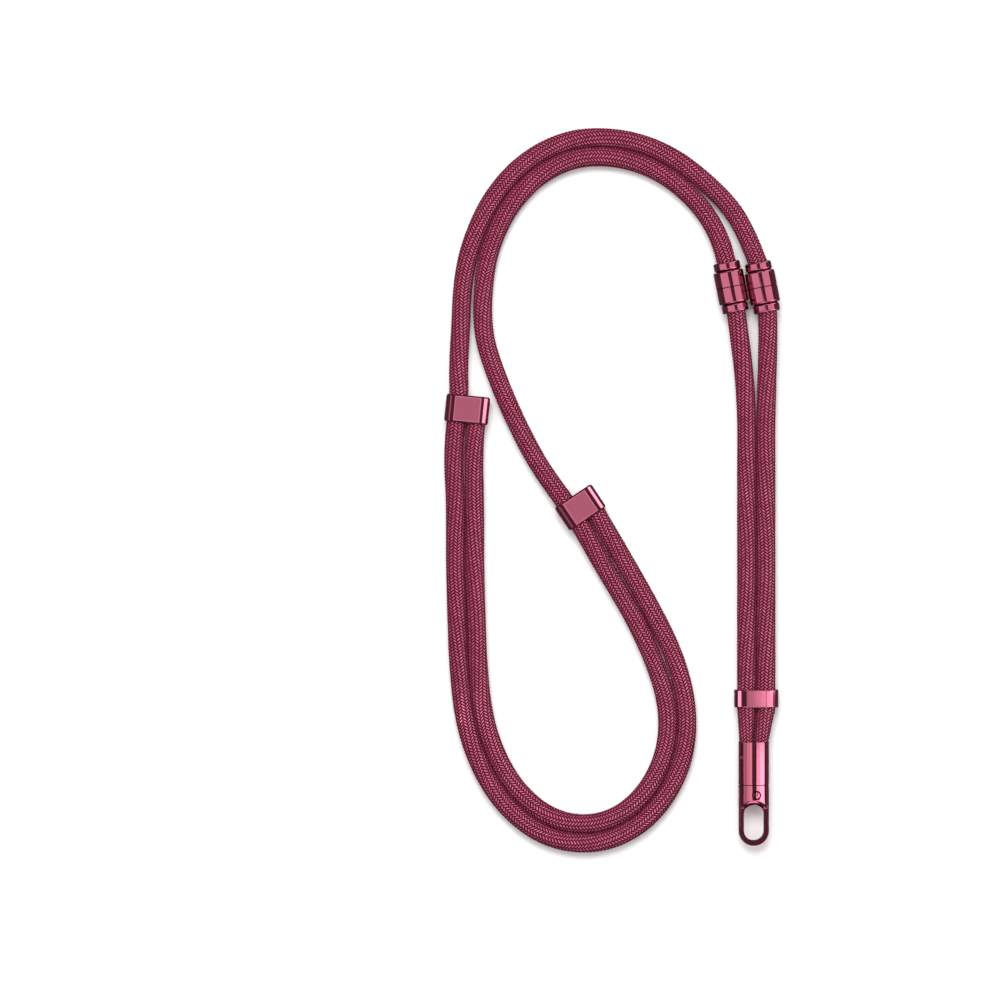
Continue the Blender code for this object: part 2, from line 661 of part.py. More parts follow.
def hook(parent, material):
    """The swivel hook, its spring gate and the pin that the gate turns on."""
    frame = new_frame("hook_frame", parent, (CAP_MOUTH_CENTRE[0], HOOK_TOP_Y, HOOK_RADIUS))
    eye_top = -HOOK_SHOULDER_LENGTH
    window_depth = EYE_WIDTH / 4
    pin = (GATE_PIN_INSET, -GATE_PIN_DROP)
    slot_half = GATE_THICKNESS / 2 + GATE_CLEARANCE
    slot_top = pin[1] + GATE_BOSS_RADIUS + GATE_CLEARANCE
    slot_right = pin[0] + GATE_BOSS_RADIUS + GATE_CLEARANCE
    left = -HOOK_RADIUS - OVERSHOOT

    body = turned("hook", hook_blank_profile(stem=True), frame, material)
    use_cutter(body, ramp_cutter("hook_upper_ramp_cutter", 1, frame))
    use_cutter(body, ramp_cutter("hook_lower_ramp_cutter", -1, frame))
    use_cutter(body, eye_cutter("hook_eye_cutter", frame))
    use_cutter(body, gate_window("hook_window_cutter", -RAMP_END_DROP, 0.0, window_depth, frame))
    slot_outline = [
        (left, -RAMP_END_DROP - OVERSHOOT),
        (-window_depth, -RAMP_END_DROP - OVERSHOOT),
        (-window_depth, eye_top - window_depth),
        (slot_right, eye_top - window_depth),
        (slot_right, slot_top),
        (left, slot_top),
    ]
    slot = prism("hook_slot_cutter", slot_outline, -slot_half, slot_half, "Z", frame)
    use_cutter(body, slot)
    bore_outline = circle_outline(pin, GATE_PIN_RADIUS + PIECE_GAP, BORE_STEPS)
    reach = HOOK_RADIUS + OVERSHOOT
    use_cutter(body, prism("hook_pin_cutter", bore_outline, -reach, reach, "Z", frame))

    pin_reach = math.sqrt(HOOK_RADIUS**2 - (pin[0] + GATE_PIN_RADIUS) ** 2)
    pin_outline = circle_outline(pin, GATE_PIN_RADIUS, BORE_STEPS)
    prism("gate_pin", pin_outline, -pin_reach, pin_reach, "Z", frame, material, CAP_EDGE / 2)

    gate_frame = new_frame("gate_frame", frame, (*pin, 0.0))
    shift = (-pin[0], -pin[1])
    gate = turned("gate", hook_blank_profile(stem=False), gate_frame, material)
    for corner in gate.data.vertices:
        corner.co.x += shift[0]
        corner.co.y += shift[1]
    root_low = eye_top - EYE_WIDTH / 2
    root_outline = [
        (left, root_low),
        (-window_depth, root_low),
        *arc(pin, GATE_BOSS_RADIUS, -math.pi / 3, math.pi / 2, 2 * ARC_STEPS),
        (left, pin[1] + GATE_BOSS_RADIUS),
    ]
    half = GATE_THICKNESS / 2
    envelope = prism("gate_envelope", root_outline, -half, half, "Z", frame)
    bar_top = -RAMP_END_DROP - GATE_CLEARANCE
    window = gate_window("gate_bar", bar_top, GATE_CLEARANCE, window_depth, frame)
    level = HOOK_PLATE_THICKNESS / 2
    plate_outline = [(-reach, -level), (reach, -level), (reach, level), (-reach, level)]
    plate = prism("gate_plate", plate_outline, -HOOK_LENGTH - OVERSHOOT, OVERSHOOT, "Y", frame)
    use_cutter(window, plate, "INTERSECT")
    use_cutter(envelope, window, "UNION")
    use_cutter(gate, envelope, "INTERSECT")
    use_cutter(gate, eye_cutter("gate_eye_cutter", frame))
    bore = prism("gate_pin_cutter", bore_outline, -reach, reach, "Z", frame)
    use_cutter(gate, bore)


def stand_on_origin(root):
    """Moves everything so that the origin is under the middle of the hard pieces."""
    bpy.context.view_layer.update()
    graph = bpy.context.evaluated_depsgraph_get()
    corners = []
    for piece in bpy.context.scene.objects:
        if piece.type != "MESH" or piece.hide_render:
            continue
        evaluated = piece.evaluated_get(graph)
        corners += [evaluated.matrix_world @ v.co for v in evaluated.to_mesh().vertices]
        evaluated.to_mesh_clear()
    for axis in (0, 1):
        values = [corner[axis] for corner in corners]
        root.location[axis] = -(min(values) + max(values)) / 2


def main():
    """Builds the strap."""
    for leftover in list(bpy.data.objects):
        bpy.data.objects.remove(leftover)
    rope_material = make_material("braided_rope", (0.26, 0.022, 0.080), 0.75, 0.0)
    metal = make_material("lacquered_metal", (0.43, 0.072, 0.140), 0.25, 1.0)
    root = new_object("strap_frame", None, None)

    long_rope("rope_outer_long", 1, root, rope_material)
    long_rope("rope_inner_long", -1, root, rope_material)
    short_rope("rope_outer_short", 1, root, rope_material)
    short_rope("rope_inner_short", -1, root, rope_material)
    clasp("outer_clasp", 1, root, metal)
    clasp("inner_clasp", -1, root, metal)
    slider("slider_left", SLIDER_LEFT_CENTRE, SLIDER_LEFT_TILT, root, metal)
    slider("slider_right", SLIDER_RIGHT_CENTRE, SLIDER_RIGHT_TILT, root, metal)
    keeper(root, metal)
    end_cap(root, metal)
    hook(root, metal)
    stand_on_origin(root)


main()
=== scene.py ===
"""Looks of a phone crossbody strap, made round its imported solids.

The strap lies flat on a pale floor. Its ropes are braided tubes along the routes of the CAD
ropes. Its fittings are lacquered metal, turned or carved to the CAD sizes with rounded edges.
Everything is in metres, +Z up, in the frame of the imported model.
"""

from __future__ import annotations

import logging
import math
from collections.abc import Callable, Iterable, Sequence
from dataclasses import dataclass, field
from enum import Enum
from typing import ClassVar

import bmesh
import bpy
import numpy as np
from mathutils import Matrix, Quaternion, Vector


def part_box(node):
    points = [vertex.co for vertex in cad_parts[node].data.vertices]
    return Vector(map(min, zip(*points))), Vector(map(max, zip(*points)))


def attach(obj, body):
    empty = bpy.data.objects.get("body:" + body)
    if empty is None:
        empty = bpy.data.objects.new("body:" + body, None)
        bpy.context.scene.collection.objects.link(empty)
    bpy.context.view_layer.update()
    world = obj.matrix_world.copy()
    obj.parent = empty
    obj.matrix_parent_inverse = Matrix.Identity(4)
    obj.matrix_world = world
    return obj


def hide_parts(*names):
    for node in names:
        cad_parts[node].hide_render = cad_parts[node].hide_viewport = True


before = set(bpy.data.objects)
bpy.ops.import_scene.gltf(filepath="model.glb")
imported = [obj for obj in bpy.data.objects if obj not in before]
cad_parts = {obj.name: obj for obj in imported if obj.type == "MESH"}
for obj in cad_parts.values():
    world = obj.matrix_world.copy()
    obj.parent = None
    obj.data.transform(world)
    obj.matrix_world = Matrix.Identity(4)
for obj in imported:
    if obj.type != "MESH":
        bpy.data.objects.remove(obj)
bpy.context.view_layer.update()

log = logging.getLogger("strap")

Point = tuple[float, float]
Outline = list[Point]
Colour = tuple[float, float, float]

# The face layer of painted light on the lacquer: highlights on rims, shade in grooves.
PAINTED_LIGHT_LAYER = "rim"
METAL_SLOT = "lacquered_metal"

# How far a cutter reaches past what it cuts.
OVERCUT = 0.002
# Points of an outline that are closer than this are one point.
SAME_POINT = 1e-6
# A distance too small to see, for things that nearly touch or nearly match.
HAIR = 1e-5


# Shared sizes of the strap


@dataclass(frozen=True)
class Row:
    """A place midway between the two ropes.

    across and along are shares of the layout's width and length, lift is how far the ropes are
    raised off the floor, and spread how much further apart than touching each lies.
    """

    across: float
    along: float
    lift: float = 0.0
    spread: float = 0.0


@dataclass(frozen=True)
class Layout:
    """The sizes that the ropes and the fittings share, as in the CAD model."""

    width: float = 0.1200
    length: float = 0.2842
    rope_diameter: float = 0.0079
    rope_gap: float = 0.0003
    clearance: float = 0.0003
    gap: float = 0.0003
    snugness: float = 0.0001

    @property
    def rope_radius(self) -> float:
        """Radius of a rope."""
        return self.rope_diameter / 2

    @property
    def rope_pitch(self) -> float:
        """Distance between two ropes that lie side by side."""
        return self.rope_diameter + self.rope_gap

    @property
    def socket_radius(self) -> float:
        """Radius of the hole that a rope goes into."""
        return self.rope_radius + self.clearance

    @property
    def visible_socket_radius(self) -> float:
        """Radius of that hole where it is seen, a little closer to the rope."""
        return self.socket_radius - self.snugness

    def at(self, across: float, along: float) -> Vector:
        """The place at a share of the width and a share of the length, before the shift."""
        return Vector((across * self.width, along * self.length, 0.0))


LAYOUT = Layout()
KEEPER_AT = LAYOUT.at(0.5400, -0.2896)


def box_centre(node: str) -> Vector:
    """The middle of a CAD node's box."""
    low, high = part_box(node)
    return (low + high) / 2


def layout_shift() -> Vector:
    """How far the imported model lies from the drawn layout."""
    shift = box_centre("keeper") - KEEPER_AT
    return Vector((shift.x, shift.y, 0.0))


SHIFT = layout_shift()


# Shader nodes


class Value:
    """A number socket that takes part in arithmetic by adding Math nodes."""

    def __init__(self, nodes: Nodes, socket: bpy.types.NodeSocket) -> None:
        """Wraps an output socket of one node tree."""
        self.nodes = nodes
        self.socket = socket

    def math(self, operation: str, *others: Value | float) -> Value:
        """One Math node.

        Args:
            operation: the Math node's operation.
            others: its further inputs.

        Returns:
            The node's output.
        """
        inputs = {i: value for i, value in enumerate((self, *others))}
        return self.nodes.value("ShaderNodeMath", {"operation": operation}, inputs)

    def __add__(self, other: Value | float) -> Value:
        """Sum."""
        return self.math("ADD", other)

    def __radd__(self, other: float) -> Value:
        """Sum with the number first."""
        return self.math("ADD", other)

    def __sub__(self, other: Value | float) -> Value:
        """Difference."""
        return self.math("SUBTRACT", other)

    def __rsub__(self, other: float) -> Value:
        """Difference with the number first."""
        return (self * -1.0).math("ADD", other)

    def __mul__(self, other: Value | float) -> Value:
        """Product."""
        return self.math("MULTIPLY", other)

    def __rmul__(self, other: float) -> Value:
        """Product with the number first."""
        return self.math("MULTIPLY", other)

    def __mod__(self, other: float) -> Value:
        """Remainder of a value that isn't negative."""
        return self.math("MODULO", other)

    def floor(self) -> Value:
        """Whole part."""
        return self.math("FLOOR")

    def fraction(self) -> Value:
        """Fractional part."""
        return self.math("FRACT")

    def sine(self) -> Value:
        """Sine of an angle in radians."""
        return self.math("SINE")

    def power(self, exponent: float) -> Value:
        """Power."""
        return self.math("POWER", exponent)


class Nodes:
    """The node tree of one material, filled node by node."""

    def __init__(self, name: str) -> None:
        """Starts a material with a Principled shader on its output."""
        self.material = bpy.data.materials.new(name)
        self.material.use_nodes = True
        self.tree = self.material.node_tree
        self.shader = self.tree.nodes["Principled BSDF"]

    def add(
        self,
        kind: str,
        settings: dict[str, object] | None = None,
        inputs: dict[int | str, object] | None = None,
    ) -> bpy.types.Node:
        """Adds one node.

        Args:
            kind: the node's type.
            settings: its properties, set first.
            inputs: values or links of its sockets, by name or by place.

        Returns:
            The node.
        """
        node = self.tree.nodes.new(kind)
        for name, setting in (settings or {}).items():
            setattr(node, name, setting)
        self.feed(node, inputs or {})
        return node

    def feed(self, node: bpy.types.Node, inputs: dict[int | str, object]) -> None:
        """Sets or links the sockets of a node.

        Args:
            node: the node.
            inputs: values or links, by the socket's name or place.
        """
        for key, value in inputs.items():
            source = value.socket if isinstance(value, Value) else value
            if isinstance(source, bpy.types.NodeSocket):
                self.tree.links.new(source, node.inputs[key])
            else:
                node.inputs[key].default_value = source

    def value(
        self,
        kind: str,
        settings: dict[str, object] | None = None,
        inputs: dict[int | str, object] | None = None,
        output: int | str = 0,
    ) -> Value:
        """Adds one node and gives one of its outputs as a number."""
        return Value(self, self.add(kind, settings, inputs).outputs[output])

    def mix(
        self,
        factor: Value,
        low: Colour | bpy.types.NodeSocket,
        high: Colour | bpy.types.NodeSocket,
    ) -> bpy.types.NodeSocket:
        """A colour between two colours.

        Args:
            factor: 0 gives low and 1 gives high.
            low: a colour or a colour socket.
            high: a colour or a colour socket.

        Returns:
            The colour socket.
        """
        colours = [(*c, 1.0) if isinstance(c, tuple) else c for c in (low, high)]
        node = self.add(
            "ShaderNodeMix", {"data_type": "RGBA"}, {0: factor, 6: colours[0], 7: colours[1]}
        )
        return node.outputs[2]

    def bump(self, height: Value, strength: float, distance: float) -> bpy.types.NodeSocket:
        """A normal from a height."""
        node = self.add(
            "ShaderNodeBump", None, {"Height": height, "Strength": strength, "Distance": distance}
        )
        return node.outputs["Normal"]


# Finishes


@dataclass(frozen=True)
class BraidFinish:
    """Glossy yarn in a round braid. It reads the braid's own UV map.

    The map counts columns of stitches round the rope and stitches along it. A mesh row follows
    the slant of the stitches, so a stitch is one unit square of the map.
    """

    yarn: Colour = (0.232, 0.0135, 0.052)
    # Painted highlight on the stitches' crests.
    highlight_yarn: Colour = (0.680, 0.148, 0.262)
    # Painted shade in the hollows between the stitches.
    hollow: Colour = (0.012, 0.0002, 0.002)
    hollow_shade_edge: float = 1.2
    flank_height: float = 0.30
    filaments: float = 4.0
    filament_lean: float = 1.5
    filament_height: float = 0.15
    grain_scale: float = 3.0
    highlight_edge: float = 2.6
    highlight_least: float = 0.35
    highlight_by_chance: float = 0.55
    highlight_by_filament: float = 0.25
    highlight_by_grain: float = 0.25
    roughness: float = 0.40
    sheen: float = 0.40
    gloss: float = 1.0
    gloss_edge: float = 3.0
    gloss_roughness: float = 0.25
    gloss_ior: float = 1.5
    relief: float = 0.00030
    relief_strength: float = 0.6

    def material(self) -> bpy.types.Material:
        """The material.

        Returns:
            A material with stitches and filaments, painted highlights on the stitches' crests
            and painted shade in the hollows between them.
        """
        nodes = Nodes("braided_yarn")
        place = nodes.add("ShaderNodeUVMap", {"uv_map": "braid"}).outputs[0]
        split = nodes.add("ShaderNodeSeparateXYZ", None, {0: place})
        column_place, along = Value(nodes, split.outputs[0]), Value(nodes, split.outputs[1])
        column = column_place.floor()
        odd = column % 2.0
        counted = along + odd * 0.5
        stitch = counted.fraction()
        across = column_place.fraction()
        ridge = (stitch * math.pi).sine()
        crown = (across * math.pi).sine().power(0.5)
        raised = ridge * (self.flank_height + (1.0 - self.flank_height) * crown)
        cell = nodes.add(
            "ShaderNodeCombineXYZ", None, {0: column, 1: counted.floor(), 2: 0.5}
        ).outputs[0]
        chance = nodes.value("ShaderNodeTexWhiteNoise", {"noise_dimensions": "3D"}, {0: cell})
        lie = stitch * (math.tau * self.filaments) + across * self.filament_lean
        threads = lie.sine() * 0.5 + 0.5
        grain = nodes.value(
            "ShaderNodeTexNoise", None, {"Vector": place, "Scale": self.grain_scale, "Detail": 3.0}
        )
        # Painted highlight: the crests turn lighter, more or less at random by stitch, filament and
        # grain.
        crest_highlight = raised.power(self.highlight_edge) * (
            self.highlight_least
            + self.highlight_by_chance * chance
            + self.highlight_by_filament * threads
            + self.highlight_by_grain * grain
        )
        tone = nodes.mix(crest_highlight, self.yarn, self.highlight_yarn)
        # Painted shade: the colour darkens towards the hollows between the stitches.
        colour = nodes.mix(raised.power(self.hollow_shade_edge), self.hollow, tone)
        height = raised * (1.0 - self.filament_height) + threads * self.filament_height
        nodes.feed(
            nodes.shader,
            {
                "Base Color": colour,
                "Roughness": self.roughness,
                "Specular IOR Level": 0.0,
                "Metallic": raised.power(self.highlight_edge) * self.sheen,
                "Coat Weight": raised.power(self.gloss_edge) * self.gloss,
                "Coat Roughness": self.gloss_roughness,
                "Coat IOR": self.gloss_ior,
                "Normal": nodes.bump(height, self.relief_strength, self.relief),
            },
        )
        return nodes.material


@dataclass(frozen=True)
class LacquerFinish:
    """Polished metal under a clear tinted lacquer."""

    name: str = "tinted_lacquer"
    tint: Colour = (0.430, 0.070, 0.138)
    # Painted highlight along the rims of flat faces.
    rim_highlight_tint: Colour = (0.640, 0.145, 0.260)
    # Painted shade in grooves and seams.
    groove_shade_tint: Colour = (0.090, 0.004, 0.018)
    unevenness: float = 0.1
    cloud_scale: float = 260.0
    roughness: float = 0.07
    roughness_range: float = 0.02
    groove_roughness: float = 0.4
    coat: float = 0.8
    coat_roughness: float = 0.04
    coat_ior: float = 1.7
    ripple_scale: float = 700.0
    ripple: float = 0.0002
    ripple_strength: float = 0.01

    def material(self) -> bpy.types.Material:
        """The material.

        Returns:
            A material with a faint unevenness of polish, a painted highlight along the rims of flat
            faces, and painted shade in grooves and seams.
        """
        nodes = Nodes(self.name)
        place = nodes.add("ShaderNodeTexCoord").outputs["Object"]
        cloud = nodes.value(
            "ShaderNodeTexNoise", None, {"Vector": place, "Scale": self.cloud_scale, "Detail": 3.0}
        )
        ripple = nodes.value(
            "ShaderNodeTexNoise", None, {"Vector": place, "Scale": self.ripple_scale, "Detail": 2.0}
        )
        rim = nodes.value("ShaderNodeAttribute", {"attribute_name": PAINTED_LIGHT_LAYER}, output="Fac")
        dull_tint = tuple(c * (1.0 - self.unevenness) for c in self.tint)
        even = nodes.mix(cloud, dull_tint, self.tint)
        # Painted highlight: the marked rims turn lighter.
        thin = nodes.mix(rim, even, self.rim_highlight_tint)
        # Painted shade: grooves and seams turn dark, and there the coat is left off and the polish is
        # rougher.
        groove = (rim * -1.0).math("MAXIMUM", 0.0)
        roughness = self.roughness + (cloud - 0.5) * self.roughness_range
        roughness += groove * self.groove_roughness
        nodes.feed(
            nodes.shader,
            {
                "Base Color": nodes.mix(groove, thin, self.groove_shade_tint),
                "Metallic": 1.0,
                "Roughness": roughness,
                "Coat Weight": (1.0 - groove) * self.coat,
                "Coat Roughness": self.coat_roughness,
                "Coat IOR": self.coat_ior,
                "Normal": nodes.bump(ripple, self.ripple_strength, self.ripple),
            },
        )
        return nodes.material


# Solids


class Cut(Enum):
    """What a cut leaves of the solid."""

    AWAY = "DIFFERENCE"
    COMMON = "INTERSECT"
    JOINED = "UNION"


class Along(Enum):
    """The axis that an outline is extruded along, as the turn that brings Z there."""

    X = Matrix(((0, 0, 1, 0), (1, 0, 0, 0), (0, 1, 0, 0), (0, 0, 0, 1)))
    Y = Matrix(((1, 0, 0, 0), (0, 0, -1, 0), (0, 1, 0, 0), (0, 0, 0, 1)))
    Z = Matrix.Identity(4)


def arc(centre: Point, radius: float, start: float, end: float, steps: int) -> Outline:
    """Points along an arc from one angle to another, in radians."""
    angles = [start + (end - start) * i / steps for i in range(steps + 1)]
    return [(centre[0] + radius * math.cos(a), centre[1] + radius * math.sin(a)) for a in angles]


def rounded_outline(width: float, height: float, radius: float, steps: int = 16) -> Outline:
    """A rectangle with round corners, counter-clockwise from the lower right.

    Args:
        width: its width.
        height: its height.
        radius: the corners' radius.
        steps: steps round a corner.

    Returns:
        Its points.
    """
    x, y = width / 2 - radius, height / 2 - radius
    outline: Outline = []
    for corner, centre in enumerate([(x, -y), (x, y), (-x, y), (-x, -y)]):
        start = (corner - 1) * math.pi / 2
        outline += arc(centre, radius, start, start + math.pi / 2, steps)
    return [p for i, p in enumerate(outline) if math.dist(p, outline[i - 1]) > SAME_POINT]


def stadium(width: float, height: float) -> Outline:
    """An outline with flat long sides and half rounds at its ends."""
    return rounded_outline(width, height, height / 2 - HAIR)


def circle(centre: Point, radius: float, steps: int = 48) -> Outline:
    """A circle's points."""
    return arc(centre, radius, 0.0, math.tau, steps)[:-1]


class Solid:
    """A closed shape that is being made, in its own directions."""

    TURN_STEPS: ClassVar[int] = 96
    DOUBLES: ClassVar[float] = 1e-7
    DOUBLES_AFTER_CUT: ClassVar[float] = 2e-6
    LEVEL_WITHIN: ClassVar[float] = math.radians(0.3)
    FACES_UP: ClassVar[float] = 0.9999
    SHARP_FROM: ClassVar[float] = math.radians(32)
    SHADING_WEIGHT: ClassVar[int] = 80

    def __init__(self, shape: bmesh.types.BMesh) -> None:
        """Takes over a bmesh."""
        self.shape = shape

    @property
    def painted_light_layer(self) -> bmesh.types.BMLayerItem:
        """The faces' painted light for the lacquer: 1 for rim highlights, -1 for shade in grooves."""
        layers = self.shape.faces.layers.float
        return layers.get(PAINTED_LIGHT_LAYER) or layers.new(PAINTED_LIGHT_LAYER)

    @classmethod
    def turned(cls, profile: Outline, closed: bool = False) -> Solid:
        """Turns a profile about Y.

        Args:
            profile: (radius, height) points.
            closed: whether the last point joins the first, as round a hollow.

        Returns:
            The turned solid.
        """
        shape = bmesh.new()
        points = [shape.verts.new((radius, height, 0.0)) for radius, height in profile]
        edges = [shape.edges.new(pair) for pair in zip(points, points[1:])]
        if closed:
            edges.append(shape.edges.new((points[-1], points[0])))
        bmesh.ops.spin(
            shape,
            geom=points + edges,
            cent=(0, 0, 0),
            axis=(0, 1, 0),
            angle=math.tau,
            steps=cls.TURN_STEPS,
            use_merge=True,
        )
        return cls(shape).mended()

    @classmethod
    def extruded(cls, outline: Outline, low: float, high: float, along: Along) -> Solid:
        """Extrudes an outline.

        Args:
            outline: its points: (x, y) along Z, (x, z) along Y and (y, z) along X.
            low: where it starts on the axis.
            high: where it ends.
            along: the axis.

        Returns:
            The extruded solid.
        """
        shape = bmesh.new()
        floor = shape.faces.new([shape.verts.new((a, b, 0.0)) for a, b in outline])
        raised = bmesh.ops.extrude_face_region(shape, geom=[floor])["geom"]
        corners = [item for item in raised if isinstance(item, bmesh.types.BMVert)]
        bmesh.ops.translate(shape, vec=(0, 0, high - low), verts=corners)
        bmesh.ops.translate(shape, vec=(0, 0, low), verts=shape.verts)
        if along is Along.Y:
            bmesh.ops.scale(shape, vec=(1, 1, -1), verts=shape.verts)
        bmesh.ops.transform(shape, matrix=along.value, verts=shape.verts)
        return cls(shape).mended()

    def mended(self) -> Solid:
        """Merges doubles and turns the faces outwards."""
        bmesh.ops.remove_doubles(self.shape, verts=self.shape.verts, dist=self.DOUBLES)
        bmesh.ops.recalc_face_normals(self.shape, faces=self.shape.faces)
        return self

    def place(self, matrix: Matrix) -> Solid:
        """Moves the solid."""
        bmesh.ops.transform(self.shape, matrix=matrix, verts=self.shape.verts)
        return self

    def as_object(self, name: str) -> bpy.types.Object:
        """Turns the shape into an object of the scene and lets go of the bmesh.

        Args:
            name: the object's name.

        Returns:
            The object.
        """
        mesh = bpy.data.meshes.new(name)
        self.shape.to_mesh(mesh)
        self.shape.free()
        item = bpy.data.objects.new(name, mesh)
        bpy.context.scene.collection.objects.link(item)
        return item

    def cut(self, *others: Solid, how: Cut = Cut.AWAY) -> Solid:
        """Cuts, trims or joins the solid by others, which are used up.

        Args:
            others: the other solids.
            how: what is left of the solid.

        Returns:
            The same solid.
        """
        body = self.as_object("work")
        tools = [other.as_object("tool") for other in others]
        for tool in tools:
            modifier = body.modifiers.new("cut", "BOOLEAN")
            modifier.solver = "EXACT"
            modifier.operation = how.value
            modifier.object = tool
        bpy.context.view_layer.update()
        graph = bpy.context.evaluated_depsgraph_get()
        mesh = bpy.data.meshes.new_from_object(body.evaluated_get(graph))
        self.shape = bmesh.new()
        self.shape.from_mesh(mesh)
        for item in [body, *tools]:
            bpy.data.objects.remove(item)
        verts = self.shape.verts
        bmesh.ops.remove_doubles(self.shape, verts=verts, dist=self.DOUBLES_AFTER_CUT)
        bmesh.ops.dissolve_limit(
            self.shape,
            angle_limit=self.LEVEL_WITHIN,
            use_dissolve_boundaries=False,
            verts=self.shape.verts,
            edges=self.shape.edges,
        )
        return self

    def round_edges(
        self,
        radius: float,
        segments: int = 3,
        sharper_than: float = 25.0,
        only: Callable[[bmesh.types.BMEdge], bool] | None = None,
        clamp: bool = True,
    ) -> Solid:
        """Rounds the sharp edges.

        Args:
            radius: how much is taken off each side.
            segments: steps across the rounding.
            sharper_than: the least angle between the faces, in degrees.
            only: which of the sharp edges to round.
            clamp: whether the rounding shrinks where short edges meet it.

        Returns:
            The same solid.
        """
        least = math.radians(sharper_than)
        edges = [
            edge
            for edge in self.shape.edges
            if len(edge.link_faces) == 2
            and edge.calc_face_angle() > least
            and (only is None or only(edge))
        ]
        bmesh.ops.bevel(
            self.shape,
            geom=edges,
            offset=radius,
            offset_type="OFFSET",
            segments=segments,
            profile=0.5,
            affect="EDGES",
            clamp_overlap=clamp,
            material=-1,
        )
        return self

    def paint_rim_highlights(self, width: float, least_area: float) -> Solid:
        """Marks a rim round each large level face, where the lacquer paints a highlight.

        Args:
            width: how wide the rim is.
            least_area: the smallest face that counts as large.

        Returns:
            The same solid.
        """
        mark = self.painted_light_layer
        level = [
            face
            for face in self.shape.faces
            if abs(face.normal.z) > self.FACES_UP and face.calc_area() > least_area
        ]
        for face in bmesh.ops.inset_region(self.shape, faces=level, thickness=width)["faces"]:
            face[mark] = 1.0
        return self

    def paint_groove_shade(self, gets_painted_shade: Callable[[Vector, Vector], bool]) -> Solid:
        """Marks the faces in grooves and seams, where the lacquer paints shade.

        Args:
            gets_painted_shade: tells it from a face's centre and normal.

        Returns:
            The same solid.
        """
        mark = self.painted_light_layer
        for face in self.shape.faces:
            if gets_painted_shade(face.calc_center_median(), face.normal):
                face[mark] = -1.0
        return self

    def piece(
        self, name: str, material: bpy.types.Material, slot: str, body: str, *nodes: str
    ) -> bpy.types.Object:
        """Makes the finished piece.

        Args:
            name: the piece's name.
            material: its material.
            slot: the slot of its finish; not used.
            body: the CAD body that it rides on.
            nodes: the CAD nodes that it stands for.

        Returns:
            The object.

        Raises:
            ValueError: if the solid is empty or inside out.
        """
        self.mended()
        if self.shape.calc_volume() <= 0.0:
            raise ValueError(f"{name} came out empty or inside out")
        item = self.as_object(name)
        item.data.shade_smooth()
        item.data.set_sharp_from_angle(angle=self.SHARP_FROM)
        item.data.materials.append(material)
        weighted = item.modifiers.new("even_shading", "WEIGHTED_NORMAL")
        weighted.keep_sharp = True
        weighted.weight = self.SHADING_WEIGHT
        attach(item, body)
        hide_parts(*nodes)
        log.info("%s: %d faces, for %s", name, len(item.data.polygons), ", ".join(nodes))
        return item


def turned_frame(centre: Vector, tilt: float, height: float) -> Matrix:
    """The place of a fitting: its centre in the layout, its turn about Z and its height."""
    return Matrix.Translation(centre + SHIFT + Vector((0, 0, height))) @ Matrix.Rotation(tilt, 4, "Z")


# Fittings


